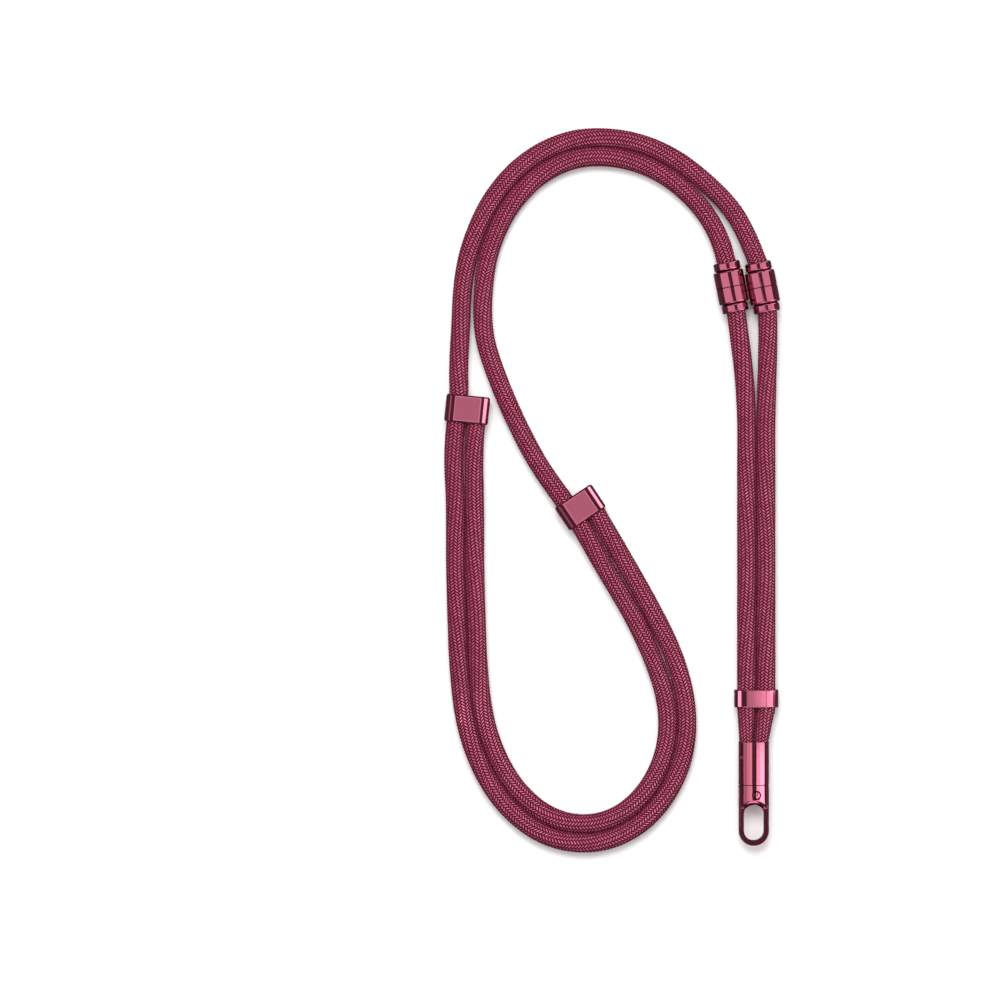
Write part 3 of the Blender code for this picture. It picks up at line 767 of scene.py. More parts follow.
@dataclass
class Clasp:
    """A barrel clasp of two turned halves, the base with a spigot that goes into the top."""

    side: int
    prefix: str
    length: float = 0.0210
    body_length: float = 0.0134
    collar_wall: float = 0.00125
    collar_length: float = 0.0034
    groove_depth: float = 0.0006
    body_raise: float = 0.0007
    shoulder: float = 0.0006
    ring_round: float = 0.0006
    edge_round: float = 0.00012
    half_seam: float = 0.000075
    # How far from the seam the painted shade reaches.
    seam_shade_reach: float = 0.0002
    web: float = 0.0018
    spigot_radius: float = 0.0046
    spigot_length: float = 0.0020
    tilt: float = math.radians(11.0)
    stagger: float = 0.0013
    pair_centre: Vector = field(default_factory=lambda: LAYOUT.at(0.5067, 0.3103))

    @property
    def collar_radius(self) -> float:
        """Radius of the grooved collars."""
        return LAYOUT.socket_radius + self.collar_wall

    @property
    def radius(self) -> float:
        """Radius of the barrel."""
        return self.collar_radius + self.body_raise

    @property
    def centre(self) -> Vector:
        """The clasp's centre in the layout."""
        across = self.side * (self.radius + LAYOUT.gap / 2)
        turn = Matrix.Rotation(self.tilt, 4, "Z")
        return self.pair_centre + turn @ Vector((across, -self.side * self.stagger, 0.0))

    def axis_point(self, along: float) -> Vector:
        """A point on the clasp's axis, in the layout."""
        turn = Matrix.Rotation(self.tilt, 4, "Z")
        return self.centre + turn @ Vector((0.0, along, 0.0)) + Vector((0.0, 0.0, self.radius))

    def socket_floor(self, end: int) -> float:
        """How far a socket's floor is from the middle, in the top (1) or the base half (-1)."""
        return (self.spigot_length + LAYOUT.gap if end > 0 else 0.0) + self.web

    def outside(self) -> Outline:
        """A half's outer profile from the seam to the mouth."""
        body_end = self.body_length / 2
        groove_radius = self.collar_radius - self.groove_depth
        mouth = self.length / 2
        edge = (self.radius - self.shoulder, body_end - self.shoulder)
        lip = self.collar_radius - self.ring_round
        low_edge = (lip, mouth - self.collar_length + self.ring_round)
        return [
            (self.radius, self.half_seam),
            *arc(edge, self.shoulder, 0.0, math.pi / 2, 8),
            (groove_radius, body_end),
            (groove_radius, mouth - self.collar_length),
            *arc(low_edge, self.ring_round, -math.pi / 2, 0.0, 8),
            *arc((lip, mouth - self.ring_round), self.ring_round, 0.0, math.pi / 2, 8),
            (LAYOUT.visible_socket_radius, mouth),
        ]

    def half(self, end: int) -> Solid:
        """One half of the clasp.

        Args:
            end: 1 for the top, -1 for the base.

        Returns:
            The half, turned about the clasp's axis.
        """
        spigot = self.spigot_radius + (LAYOUT.gap if end > 0 else 0.0)
        depth = self.spigot_length + LAYOUT.gap if end > 0 else -self.spigot_length
        floor = self.socket_floor(end)
        profile = [
            (0.0, depth),
            (spigot, depth),
            (spigot, self.half_seam),
            *self.outside(),
            (LAYOUT.visible_socket_radius, floor),
            (0.0, floor),
        ]
        return Solid.turned([(radius, end * height) for radius, height in profile])

    def gets_painted_shade(self, centre: Vector, normal: Vector) -> bool:
        """Whether a face of a half lies in its groove or at the seam, where shade is painted.

        Args:
            centre: the face's centre.
            normal: its normal, which plays no part here.

        Returns:
            True for such a face.
        """
        radius, along = math.hypot(centre.x, centre.z), abs(centre.y)
        lip = self.length / 2 - self.collar_length + self.ring_round
        in_groove = self.body_length / 2 - self.shoulder < along < lip
        at_seam = along < self.seam_shade_reach and radius > self.spigot_radius + 2 * LAYOUT.gap
        deep = LAYOUT.socket_radius < radius < self.collar_radius - self.groove_depth / 4
        return at_seam or (in_groove and deep)

    def build(self, material: bpy.types.Material) -> None:
        """Makes both halves.

        Args:
            material: the lacquered metal.
        """
        place = turned_frame(self.centre, self.tilt, self.radius)
        for end, half in ((1, "top"), (-1, "base")):
            node = f"{self.prefix}_{half}"
            solid = self.half(end).round_edges(self.edge_round, segments=2, sharper_than=50.0)
            # Paints shade in the groove and at the seam.
            solid.paint_groove_shade(self.gets_painted_shade).place(place)
            solid.piece(f"{node}_barrel", material, METAL_SLOT, "strap", node)


@dataclass
class Slider:
    """A block with a through hole for the passing rope and a pocket for the other rope's end."""

    node: str
    centre: Vector
    tilt: float
    length: float = 0.0114
    side_wall: float = 0.00075
    face_wall: float = 0.00095
    end_wall: float = 0.0024
    corner_radius: float = 0.0037
    chamfer: float = 0.00060
    edge_round: float = 0.00015
    # Width of the painted highlight round the flat faces.
    rim: float = 0.0005

    @property
    def width(self) -> float:
        """Width across both ropes."""
        return LAYOUT.rope_pitch + 2 * (LAYOUT.socket_radius + self.side_wall)

    @property
    def height(self) -> float:
        """Height off the floor."""
        return 2 * (LAYOUT.socket_radius + self.face_wall)

    def point(self, side: int, along: float) -> Vector:
        """A point on the passing rope (-1) or on the fixed rope's end (+1), in the layout."""
        turn = Matrix.Rotation(self.tilt, 4, "Z")
        local = Vector((side * LAYOUT.rope_pitch / 2, along, 0.0))
        return self.centre + turn @ local + Vector((0.0, 0.0, self.height / 2))

    def build(self, material: bpy.types.Material) -> None:
        """Makes the slider.

        Args:
            material: the lacquered metal.
        """
        half = self.length / 2
        bore = LAYOUT.visible_socket_radius
        block = Solid.extruded(
            rounded_outline(self.width, self.height, self.corner_radius), -half, half, Along.Y
        ).round_edges(self.chamfer, segments=1, sharper_than=40.0)
        pocket = Solid.extruded(
            stadium(LAYOUT.rope_pitch + 2 * bore, 2 * bore),
            -half - OVERCUT,
            half - self.end_wall,
            Along.Y,
        )
        hole = Solid.extruded(
            circle((-LAYOUT.rope_pitch / 2, 0.0), bore), 0.0, half + OVERCUT, Along.Y
        )
        solid = block.cut(pocket, hole)
        solid.round_edges(self.edge_round, segments=2, sharper_than=60.0)
        # Paints a highlight round the large flat faces.
        solid.paint_rim_highlights(self.rim, self.length * self.length / 2)
        place = turned_frame(self.centre, self.tilt, self.height / 2)
        solid.place(place).piece(f"{self.node}_block", material, METAL_SLOT, "strap", self.node)


@dataclass
class Keeper:
    """The band round both ropes that slides along them."""

    wall: float = 0.0008
    length: float = 0.0073
    crown: float = 0.00012
    edge_round: float = 0.00060
    inner_round: float = 0.00015

    @property
    def height(self) -> float:
        """Height off the floor."""
        return 2 * (LAYOUT.socket_radius + self.wall)

    def is_outer(self, edge: bmesh.types.BMEdge) -> bool:
        """Whether an edge lies on the outside of the band."""
        return all(
            math.hypot(max(abs(vert.co.x) - LAYOUT.rope_pitch / 2, 0.0), vert.co.z)
            > LAYOUT.socket_radius + self.wall / 2
            for vert in edge.verts
        )

    @staticmethod
    def densified(outline: Outline, longest: float = 0.0008) -> Outline:
        """An outline with its long sides divided.

        Args:
            outline: its points.
            longest: about how long a side may be.

        Returns:
            The outline with more points.
        """
        dense: Outline = []
        for start, end in zip(outline, [*outline[1:], outline[0]]):
            count = max(1, round(math.dist(start, end) / longest))
            for i in range(count):
                share = i / count
                dense.append(tuple(a + (b - a) * share for a, b in zip(start, end)))
        return dense

    def build(self, material: bpy.types.Material) -> None:
        """Makes the band.

        Args:
            material: the lacquered metal.
        """
        half = self.length / 2
        bore = LAYOUT.socket_radius
        width = LAYOUT.rope_pitch + self.height
        outside = [
            (x, z + math.copysign(self.crown * (1 - (2 * x / width) ** 2), z))
            for x, z in self.densified(stadium(width, self.height))
        ]
        inside = stadium(LAYOUT.rope_pitch + 2 * bore, 2 * bore)
        band = Solid.extruded(outside, -half, half, Along.Y)
        band.cut(Solid.extruded(inside, -half - OVERCUT, half + OVERCUT, Along.Y))
        band.round_edges(self.edge_round, segments=5, sharper_than=40.0, only=self.is_outer)
        band.round_edges(self.inner_round, segments=2, sharper_than=40.0)
        place = turned_frame(KEEPER_AT, 0.0, self.height / 2)
        band.place(place).piece("keeper_band", material, METAL_SLOT, "keeper", "keeper")


@dataclass
class HookSet:
    """The end cap with its set screw, and the swivel hook with its spring gate and pin."""

    radius: float = 0.0063
    cap_length: float = 0.0176
    cap_wall: float = 0.0007
    cap_floor: float = 0.0020
    rope_depth: float = 0.0085
    screw_radius: float = 0.0014
    screw_length: float = 0.0014
    screw_depth: float = 0.0064
    screw_angle: float = math.radians(57.0)
    length: float = 0.0252
    shoulder: float = 0.0079
    plate: float = 0.0050
    ramp_lead: float = 0.0011
    ramp_length: float = 0.0029
    eye_width: float = 0.0083
    crown_wall: float = 0.0023
    neck_radius: float = 0.0020
    head_radius: float = 0.0034
    head_length: float = 0.0013
    gate_thickness: float = 0.0030
    boss_radius: float = 0.0024
    pin_radius: float = 0.0015
    pin_inset: float = 0.0009
    seam_share: float = 0.58
    seam_slope: float = math.radians(49.0)
    ramp_round: float = 0.0009
    seam_gap: float = 0.00003
    seat_radius: float = 0.0059
    seat_height: float = 0.00022
    rivet_gap: float = 0.00060
    core_half: float = 0.0050
    # Painted shade at the swivel's gap, the seam and round the pin: how far it reaches and which
    # faces take it.
    painted_shade_reach: float = 0.00018
    seam_level: float = 0.95
    ring_level: float = 0.6
    body_lean: float = 0.05
    body_top: float = 0.3
    ramp_leans: Point = (0.5, 0.95)
    pin_share: float = 0.992
    ramp_margin: float = 0.0004
    screw_sink: float = 0.0001
    socket_share: float = 0.58
    socket_depth: float = 0.0009
    cap_round: float = 0.00022
    screw_round: float = 0.00020
    hook_round: float = 0.00020
    pin_round: float = 0.00016
    gate_round: float = 0.00018
    mouth: Vector = field(default_factory=lambda: LAYOUT.at(0.5308, -0.3529))

    @property
    def eye_length(self) -> float:
        """Length of the eye."""
        return self.length - self.shoulder - self.crown_wall

    @property
    def ramp_end(self) -> float:
        """How far below the top face the flat plate starts."""
        return self.shoulder - self.ramp_lead + self.ramp_length

    @property
    def pin(self) -> Point:
        """The gate pin's place in the hook."""
        return self.pin_inset, -self.shoulder / 2

    @property
    def pin_hole_radius(self) -> float:
        """Radius of the visible hole round the pin."""
        return self.pin_radius + self.rivet_gap * 0.7

    @property
    def rivet_radius(self) -> float:
        """Radius of the visible pin, with a ring of shade between it and its hole."""
        return self.pin_radius - self.rivet_gap * 0.3

    @property
    def core_radius(self) -> float:
        """Radius of the pin's wider core, which closes the ring below."""
        return self.pin_radius + self.rivet_gap * 0.4

    @property
    def reach(self) -> float:
        """How far a cutter reaches from the axis."""
        return self.radius + OVERCUT

    def cap_frame(self) -> Matrix:
        """The end cap's place: the middle of its mouth."""
        return turned_frame(self.mouth, 0.0, self.radius)

    def hook_frame(self) -> Matrix:
        """The hook's place: the middle of its top face."""
        drop = self.cap_length + LAYOUT.gap
        return self.cap_frame() @ Matrix.Translation((0.0, -drop, 0.0))

    def build_cap(self, material: bpy.types.Material) -> None:
        """Makes the end cap and its set screw.

        Args:
            material: the lacquered metal.
        """
        hollow = self.radius - self.cap_wall
        bore = self.neck_radius + LAYOUT.clearance
        profile = [
            (hollow, 0.0),
            (self.radius, 0.0),
            (self.radius, -self.cap_length),
            (bore, -self.cap_length),
            (bore, self.cap_floor - self.cap_length),
            (hollow, self.cap_floor - self.cap_length),
        ]
        cap = Solid.turned(profile, closed=True)
        at_screw = Matrix.Translation((0.0, -self.screw_depth, 0.0)) @ Matrix.Rotation(
            -self.screw_angle, 4, "Y"
        )
        hole = Solid.extruded(
            circle((0.0, 0.0), self.screw_radius + LAYOUT.gap / 2),
            hollow - OVERCUT,
            self.reach,
            Along.Z,
        )
        cap.cut(hole.place(at_screw)).round_edges(self.cap_round)
        # Paints shade on the cap's lower end, by the swivel's gap.
        cap.paint_groove_shade(lambda centre, _: centre.y < self.painted_shade_reach - self.cap_length)
        cap.place(self.cap_frame()).piece(
            "end_cap_shell", material, METAL_SLOT, "strap", "end_cap"
        )
        screw = Solid.extruded(
            circle((0.0, 0.0), self.screw_radius),
            self.radius - self.screw_length,
            self.radius - self.screw_sink,
            Along.Z,
        )
        socket = Solid.extruded(
            circle((0.0, 0.0), self.screw_radius * self.socket_share, 6),
            self.radius - self.socket_depth,
            self.reach,
            Along.Z,
        )
        screw.cut(socket).round_edges(self.screw_round)
        screw.place(self.cap_frame() @ at_screw).piece(
            "set_screw_socketed", material, METAL_SLOT, "strap", "set_screw"
        )

    def blank(self, stem: bool) -> Solid:
        """The hook's turned blank.

        Args:
            stem: whether it has its stem, or starts at its top face.

        Returns:
            The blank.
        """
        end_centre = self.radius - self.length
        end = arc((0.0, end_centre), self.radius, 0.0, -math.pi / 2, 24)
        end[-1] = (0.0, -self.length)
        if not stem:
            return Solid.turned([(0.0, 0.0), (self.radius, 0.0), *end])
        head_base = LAYOUT.gap + self.cap_floor + LAYOUT.clearance
        return Solid.turned(
            [
                (0.0, head_base + self.head_length),
                (self.head_radius, head_base + self.head_length),
                (self.head_radius, head_base),
                (self.neck_radius, head_base),
                (self.neck_radius, self.seat_height),
                (self.seat_radius, self.seat_height),
                (self.seat_radius, 0.0),
                (self.radius, 0.0),
                *end,
            ]
        )

    def ramp(self, face: int) -> Solid:
        """The cutter that clears the hook down to the plate on one face.

        Args:
            face: 1 for the upper face, -1 for the lower.

        Returns:
            The cutter.
        """
        level = face * self.plate / 2
        rise = (self.radius - self.plate / 2) / self.ramp_length
        above = face * self.reach
        start = self.shoulder - self.ramp_lead
        outline = [
            (-start + OVERCUT / rise, above),
            (-self.ramp_end, level),
            (-self.length - OVERCUT, level),
            (-self.length - OVERCUT, above),
        ]
        return Solid.extruded(outline, -self.reach, self.reach, Along.X)

    def eye(self) -> Solid:
        """The cutter of the eye."""
        middle = -self.shoulder - self.eye_length / 2
        radius = self.eye_width / 2
        straight = self.eye_length / 2 - radius
        upper = arc((0.0, middle + straight), radius, 0.0, math.pi, 28)
        lower = arc((0.0, middle - straight), radius, math.pi, math.tau, 28)
        return Solid.extruded(upper + lower, -self.reach, self.reach, Along.Z)

    def seam(self, x: float, shift: float) -> float:
        """Height of the slanted seam at x, moved square to itself by shift."""
        drop = self.shoulder + self.seam_share * self.eye_length
        run = x + self.radius
        return -drop - run * math.tan(self.seam_slope) + shift / math.cos(self.seam_slope)

    def window(self, top: float, shift: float) -> Solid:
        """The part of the hook's left-hand side that the gate fills.

        Args:
            top: where it starts.
            shift: how far its lower side is moved square to the seam.

        Returns:
            The part, through the whole hook.
        """
        left, right = -self.reach, -self.eye_width / 4
        outline = [
            (left, self.seam(left, shift)),
            (right, self.seam(right, shift)),
            (right, top),
            (left, top),
        ]
        return Solid.extruded(outline, -self.reach, self.reach, Along.Z)

    def pin_bore(self, radius: float) -> Solid:
        """A cylinder through the hook at the gate pin."""
        return Solid.extruded(circle(self.pin, radius), -self.reach, self.reach, Along.Z)

    def is_ramp_edge(self, edge: bmesh.types.BMEdge) -> bool:
        """Whether an edge lies where the round body turns into a ramp.

        The ramp's thin ends by the plate are left out, because a rounding would fold over there.

        Args:
            edge: an edge of the blank.

        Returns:
            True for such an edge.
        """
        tops = [abs(face.normal.z) for face in edge.link_faces]
        leans = [abs(face.normal.y) for face in edge.link_faces]
        on_body = min(leans) < self.body_lean and tops[leans.index(min(leans))] > self.body_top
        high = all(abs(vert.co.z) > self.plate / 2 + self.ramp_margin for vert in edge.verts)
        least, most = self.ramp_leans
        return on_body and least < max(leans) < most and high

    def gets_painted_shade(self, centre: Vector, normal: Vector) -> bool:
        """Whether a face lies at the swivel's gap, the slanted seam or round the pin, for painted
        shade.

        Args:
            centre: the face's centre.
            normal: its normal.

        Returns:
            True for such a face.
        """
        at_swivel = centre.y > -self.painted_shade_reach
        off_seam = abs(centre.y - self.seam(centre.x, 0.0)) * math.cos(self.seam_slope)
        at_seam = off_seam < self.painted_shade_reach and centre.x < 0 and abs(normal.z) < self.seam_level
        off_pin = math.dist((centre.x, centre.y), self.pin)
        by_pin = off_pin < self.pin_hole_radius + self.painted_shade_reach
        on_core = abs(centre.z) < self.core_half + HAIR
        in_ring = by_pin and (abs(normal.z) < self.ring_level or on_core)
        return at_swivel or at_seam or in_ring

    def build_hook(self, material: bpy.types.Material) -> None:
        """Makes the swivel hook and the gate's pin.

        Args:
            material: the lacquered metal.
        """
        slot_half = self.gate_thickness / 2 + LAYOUT.clearance
        deep = self.eye_width / 4
        wide = self.boss_radius + LAYOUT.clearance
        slot = Solid.extruded(
            [
                (-self.reach, -self.ramp_end - OVERCUT),
                (-deep, -self.ramp_end - OVERCUT),
                (-deep, -self.shoulder - deep),
                (self.pin[0] + wide, -self.shoulder - deep),
                (self.pin[0] + wide, self.pin[1] + wide),
                (-self.reach, self.pin[1] + wide),
            ],
            -slot_half,
            slot_half,
            Along.Z,
        )
        hook = self.blank(stem=True).cut(self.ramp(1), self.ramp(-1))
        hook.round_edges(self.ramp_round, segments=5, only=self.is_ramp_edge, clamp=False)
        hook.cut(self.eye(), self.window(-self.ramp_end, 0.0), slot)
        hook.cut(self.pin_bore(self.pin_hole_radius))
        # Paints shade at the swivel's gap, at the seam and round the pin.
        hook.round_edges(self.hook_round).paint_groove_shade(self.gets_painted_shade)
        hook.place(self.hook_frame()).piece(
            "hook_body", material, METAL_SLOT, "hook", "hook"
        )
        pin = self.pin_bore(self.rivet_radius).cut(
            self.blank(stem=False).place(Matrix.Scale(self.pin_share, 4)), how=Cut.COMMON
        )
        core = circle(self.pin, self.core_radius)
        pin.cut(Solid.extruded(core, -self.core_half, self.core_half, Along.Z), how=Cut.JOINED)
        # Paints shade on the pin round its ring.
        pin.round_edges(self.pin_round).paint_groove_shade(self.gets_painted_shade)
        pin.place(self.hook_frame()).piece(
            "gate_pin_rivet", material, METAL_SLOT, "hook", "gate_pin"
        )

    def build_gate(self, material: bpy.types.Material) -> None:
        """Makes the spring gate.

        Args:
            material: the lacquered metal.
        """
        clear = LAYOUT.clearance
        deep = self.eye_width / 4
        root_low = -self.shoulder - self.eye_width / 2
        root = Solid.extruded(
            [
                (-self.reach, root_low),
                (-deep, root_low),
                *arc(self.pin, self.boss_radius, -math.pi / 3, math.pi / 2, 20),
                (-self.reach, self.pin[1] + self.boss_radius),
            ],
            -self.gate_thickness / 2,
            self.gate_thickness / 2,
            Along.Z,
        )
        level, reach = self.plate / 2, self.reach
        plate = Solid.extruded(
            [(-reach, -level), (reach, -level), (reach, level), (-reach, level)],
            -self.length - OVERCUT,
            OVERCUT,
            Along.Y,
        )
        bar = self.window(-self.ramp_end - clear, self.seam_gap).cut(plate, how=Cut.COMMON)
        gate = root.cut(bar, how=Cut.JOINED).cut(self.blank(stem=False), how=Cut.COMMON)
        gate.cut(self.eye(), self.pin_bore(self.pin_radius + LAYOUT.gap))
        # Paints shade on the gate at the seam and round the pin.
        gate.round_edges(self.gate_round).paint_groove_shade(self.gets_painted_shade)
        gate.place(self.hook_frame()).piece("gate_bar", material, METAL_SLOT, "gate", "gate")


# Ropes


@dataclass(frozen=True)
class Braid:
    """Sizes of the round braid."""

    columns: int = 14
    points_across: int = 3
    rows_a_stitch: int = 4
    stitch: float = 0.0013
    slant: float = 0.00060
    fullness: float = 0.00005
    groove: float = 0.00036
    seam: float = 0.00022
    flank: float = 0.00007
    crown: float = 0.00004
    twist: float = 0.50
    twist_length: float = 0.110

    @property
    def around(self) -> int:
        """Points round the rope."""
        return self.columns * self.points_across


class Route:
    """A smooth line that a rope follows, sampled finely."""

    STEP: ClassVar[float] = 0.0005
    SMOOTH_OVER: ClassVar[float] = 0.0045
    PIN_REACH: ClassVar[float] = 0.012

    def __init__(self, knots: Sequence[Vector], pinned: Iterable[int]) -> None:
        """Runs a smooth line through the knots.

        Args:
            knots: points of the layout, in order.
            pinned: indices of the knots that lie in fittings and stay where they are.
        """
        line, marks = self.spline([np.array(knot + SHIFT) for knot in knots])
        runs = self.runs(line)
        even = np.arange(0.0, runs[-1], self.STEP)
        line = self.read(even, runs, line)
        held = [runs[marks[i]] for i in pinned]
        far = np.min([np.abs(even - place) for place in held], axis=0)
        share = np.clip(far / self.PIN_REACH, 0.0, 1.0)
        share = (share * share * (3 - 2 * share))[:, None]
        self.line = line * (1 - share) + self.smoothed(line) * share
        self.places = self.runs(self.line)

    @classmethod
    def spline(cls, spots: Sequence[np.ndarray]) -> tuple[np.ndarray, list[int]]:
        """A finely sampled curve through the spots.

        Args:
            spots: the points to pass.

        Returns:
            The curve's points, and the index among them of each spot.
        """
        spots = [2 * spots[0] - spots[1], *spots, 2 * spots[-1] - spots[-2]]
        fine, marks = [], []
        for before, start, end, after in zip(spots, spots[1:], spots[2:], spots[3:]):
            marks.append(len(fine))
            count = max(2, round(float(np.linalg.norm(end - start)) / cls.STEP))
            for t in np.arange(count) / count:
                first = (end - before) * t
                second = (2 * before - 5 * start + 4 * end - after) * t**2
                third = (3 * start - before - 3 * end + after) * t**3
                fine.append(0.5 * (2 * start + first + second + third))
        marks.append(len(fine))
        return np.array([*fine, spots[-2]]), marks

    @property
    def length(self) -> float:
        """Length along the line."""
        return float(self.places[-1])

    @staticmethod
    def runs(line: np.ndarray) -> np.ndarray:
        """Length along the line up to each point."""
        steps = np.linalg.norm(np.diff(line, axis=0), axis=1)
        return np.concatenate([[0.0], np.cumsum(steps)])

    @staticmethod
    def read(at: np.ndarray, runs: np.ndarray, values: np.ndarray) -> np.ndarray:
        """Values of several columns at places along the line."""
        return np.stack([np.interp(at, runs, values[:, k]) for k in range(values.shape[1])], axis=-1)

    def smoothed(self, line: np.ndarray) -> np.ndarray:
        """The line with its small wiggles evened out.

        Args:
            line: points at even steps.

        Returns:
            As many points.
        """
        reach = int(3 * self.SMOOTH_OVER / self.STEP)
        offsets = np.arange(-reach, reach + 1) * self.STEP
        weights = np.exp(-0.5 * (offsets / self.SMOOTH_OVER) ** 2)
        weights /= weights.sum()
        padded = np.pad(line, ((reach, reach), (0, 0)), mode="edge")
        return np.stack([np.convolve(padded[:, k], weights, "valid") for k in range(3)], axis=-1)

    def frames(self, at: np.ndarray) -> tuple[np.ndarray, np.ndarray, np.ndarray]:
        """Points, sideways and upward directions at places along the line.

        Args:
            at: lengths along the line.

        Returns:
            Three arrays with a row for each place.
        """
        ahead = np.gradient(self.line, self.places, axis=0)
        ahead = self.smoothed(ahead)
        side = np.stack([ahead[:, 1], -ahead[:, 0], np.zeros(len(ahead))], axis=-1)
        side /= np.linalg.norm(side, axis=1)[:, None]
        ahead /= np.linalg.norm(ahead, axis=1)[:, None]
        up = np.cross(side, ahead)
        return (
            self.read(at, self.places, self.line),
            self.read(at, self.places, side),
            self.read(at, self.places, up),
        )


@dataclass
class Rope:
    """A round braided rope along a route.

    squeeze says how narrow the rope is at places along it, where the end cap presses the pair
    together.
    """

    FADE: ClassVar[float] = 0.003
    PATH_STEP: ClassVar[float] = 0.004
    LEAST_PATH_POINTS: ClassVar[int] = 20
    SQUEEZE_SWELL: ClassVar[float] = -0.2

    node: str
    route: Route
    far_exit: Vector
    braid: Braid = field(default_factory=Braid)
    squeeze: tuple[Point, ...] = ((0.0, 1.0),)

    @property
    def rows(self) -> int:
        """Rows of faces along the rope."""
        return int(self.route.length / self.braid.stitch * self.braid.rows_a_stitch)

    def heights(self) -> np.ndarray:
        """How far each point of the braid stands off the rope's radius."""
        braid = self.braid
        row = np.arange(self.rows + 1)[:, None]
        point = np.arange(braid.around + 1)[None, :]
        column = point // braid.points_across
        phase = (row + (column % 2) * (braid.rows_a_stitch // 2)) % braid.rows_a_stitch
        height = np.where(phase == 0, -braid.groove, np.where(phase == 2, braid.crown, -braid.flank))
        return np.where(point % braid.points_across == 0, -braid.seam, height)

    def spots(self) -> np.ndarray:
        """The place of each point of the braid, row by row."""
        braid, length = self.braid, self.route.length
        along = np.linspace(0.0, length, self.rows + 1)
        turn = np.arange(braid.around + 1) / braid.around
        swing = turn * braid.columns % 2
        zigzag = braid.slant * (2 * np.abs(swing - 1) - 1) * -1
        fade = np.clip(np.minimum(along, length - along) / self.FADE, 0.0, 1.0)
        place = (along[:, None] + fade[:, None] * zigzag[None, :]).ravel()
        point, side, up = self.route.frames(place)
        narrow = np.interp(place, *zip(*self.squeeze))[:, None]
        radius = (LAYOUT.rope_radius + braid.fullness + self.heights()).ravel()[:, None]
        drift = braid.twist * np.sin(along / braid.twist_length * math.tau)
        angle = (turn[None, :] * math.tau + drift[:, None]).ravel()[:, None]
        return (
            point
            + side * radius * narrow * np.cos(angle)
            + up * radius * narrow**self.SQUEEZE_SWELL * np.sin(angle)
        )

    def tube(self) -> bpy.types.Mesh:
        """The braid as a tube that is still open along one side and at its ends.

        Returns:
            A mesh whose map counts columns of stitches round it and stitches along it.
        """
        braid = self.braid
        shape = bmesh.new()
        shape.loops.layers.uv.new("braid")
        bmesh.ops.create_grid(
            shape, x_segments=braid.around, y_segments=self.rows, size=1.0, calc_uvs=True
        )
        mesh = bpy.data.meshes.new(f"{self.node}_braid")
        shape.to_mesh(mesh)
        shape.free()
        mesh.vertices.foreach_set("co", self.spots().astype(np.float32).ravel())
        layer = mesh.uv_layers["braid"].data
        scale = np.zeros(len(layer) * 2, np.float32)
        layer.foreach_get("uv", scale)
        scale = scale.reshape(-1, 2) * (braid.columns, self.rows / braid.rows_a_stitch)
        layer.foreach_set("uv", scale.astype(np.float32).ravel())
        return mesh

    @staticmethod
    def close(mesh: bpy.types.Mesh) -> None:
        """Joins the tube's long edges, fills its ends and turns its faces outwards."""
        shape = bmesh.new()
        shape.from_mesh(mesh)
        rim = [vert for vert in shape.verts if vert.is_boundary]
        bmesh.ops.remove_doubles(shape, verts=rim, dist=SAME_POINT)
        ends = [edge for edge in shape.edges if edge.is_boundary]
        bmesh.ops.holes_fill(shape, edges=ends, sides=0)
        if shape.calc_volume(signed=True) < 0:
            bmesh.ops.reverse_faces(shape, faces=shape.faces)
        shape.to_mesh(mesh)
        shape.free()
        mesh.shade_smooth()

    def declare(self, item: bpy.types.Object) -> None:
        """Hangs the rope on the strap and hides the CAD rope that it stands for.

        Args:
            item: the rope's object.
        """
        route = self.route
        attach(item, "strap")
        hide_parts(self.node)
        count = max(self.LEAST_PATH_POINTS, int(route.length / self.PATH_STEP))
        path = route.read(np.linspace(0.0, route.length, count), route.places, route.line)
        tuple(self.far_exit + SHIFT)

    def build(self, material: bpy.types.Material) -> bpy.types.Object:
        """Args:
            material: the braid's material.

        Returns:
            The object.
        """
        mesh = self.tube()
        self.close(mesh)
        mesh.materials.append(material)
        item = bpy.data.objects.new(mesh.name, mesh)
        bpy.context.scene.collection.objects.link(item)
        self.declare(item)
        millimetres = 1000 * self.route.length
        log.info("%s: %.1f mm long, %d faces", item.name, millimetres, len(mesh.polygons))
        return item


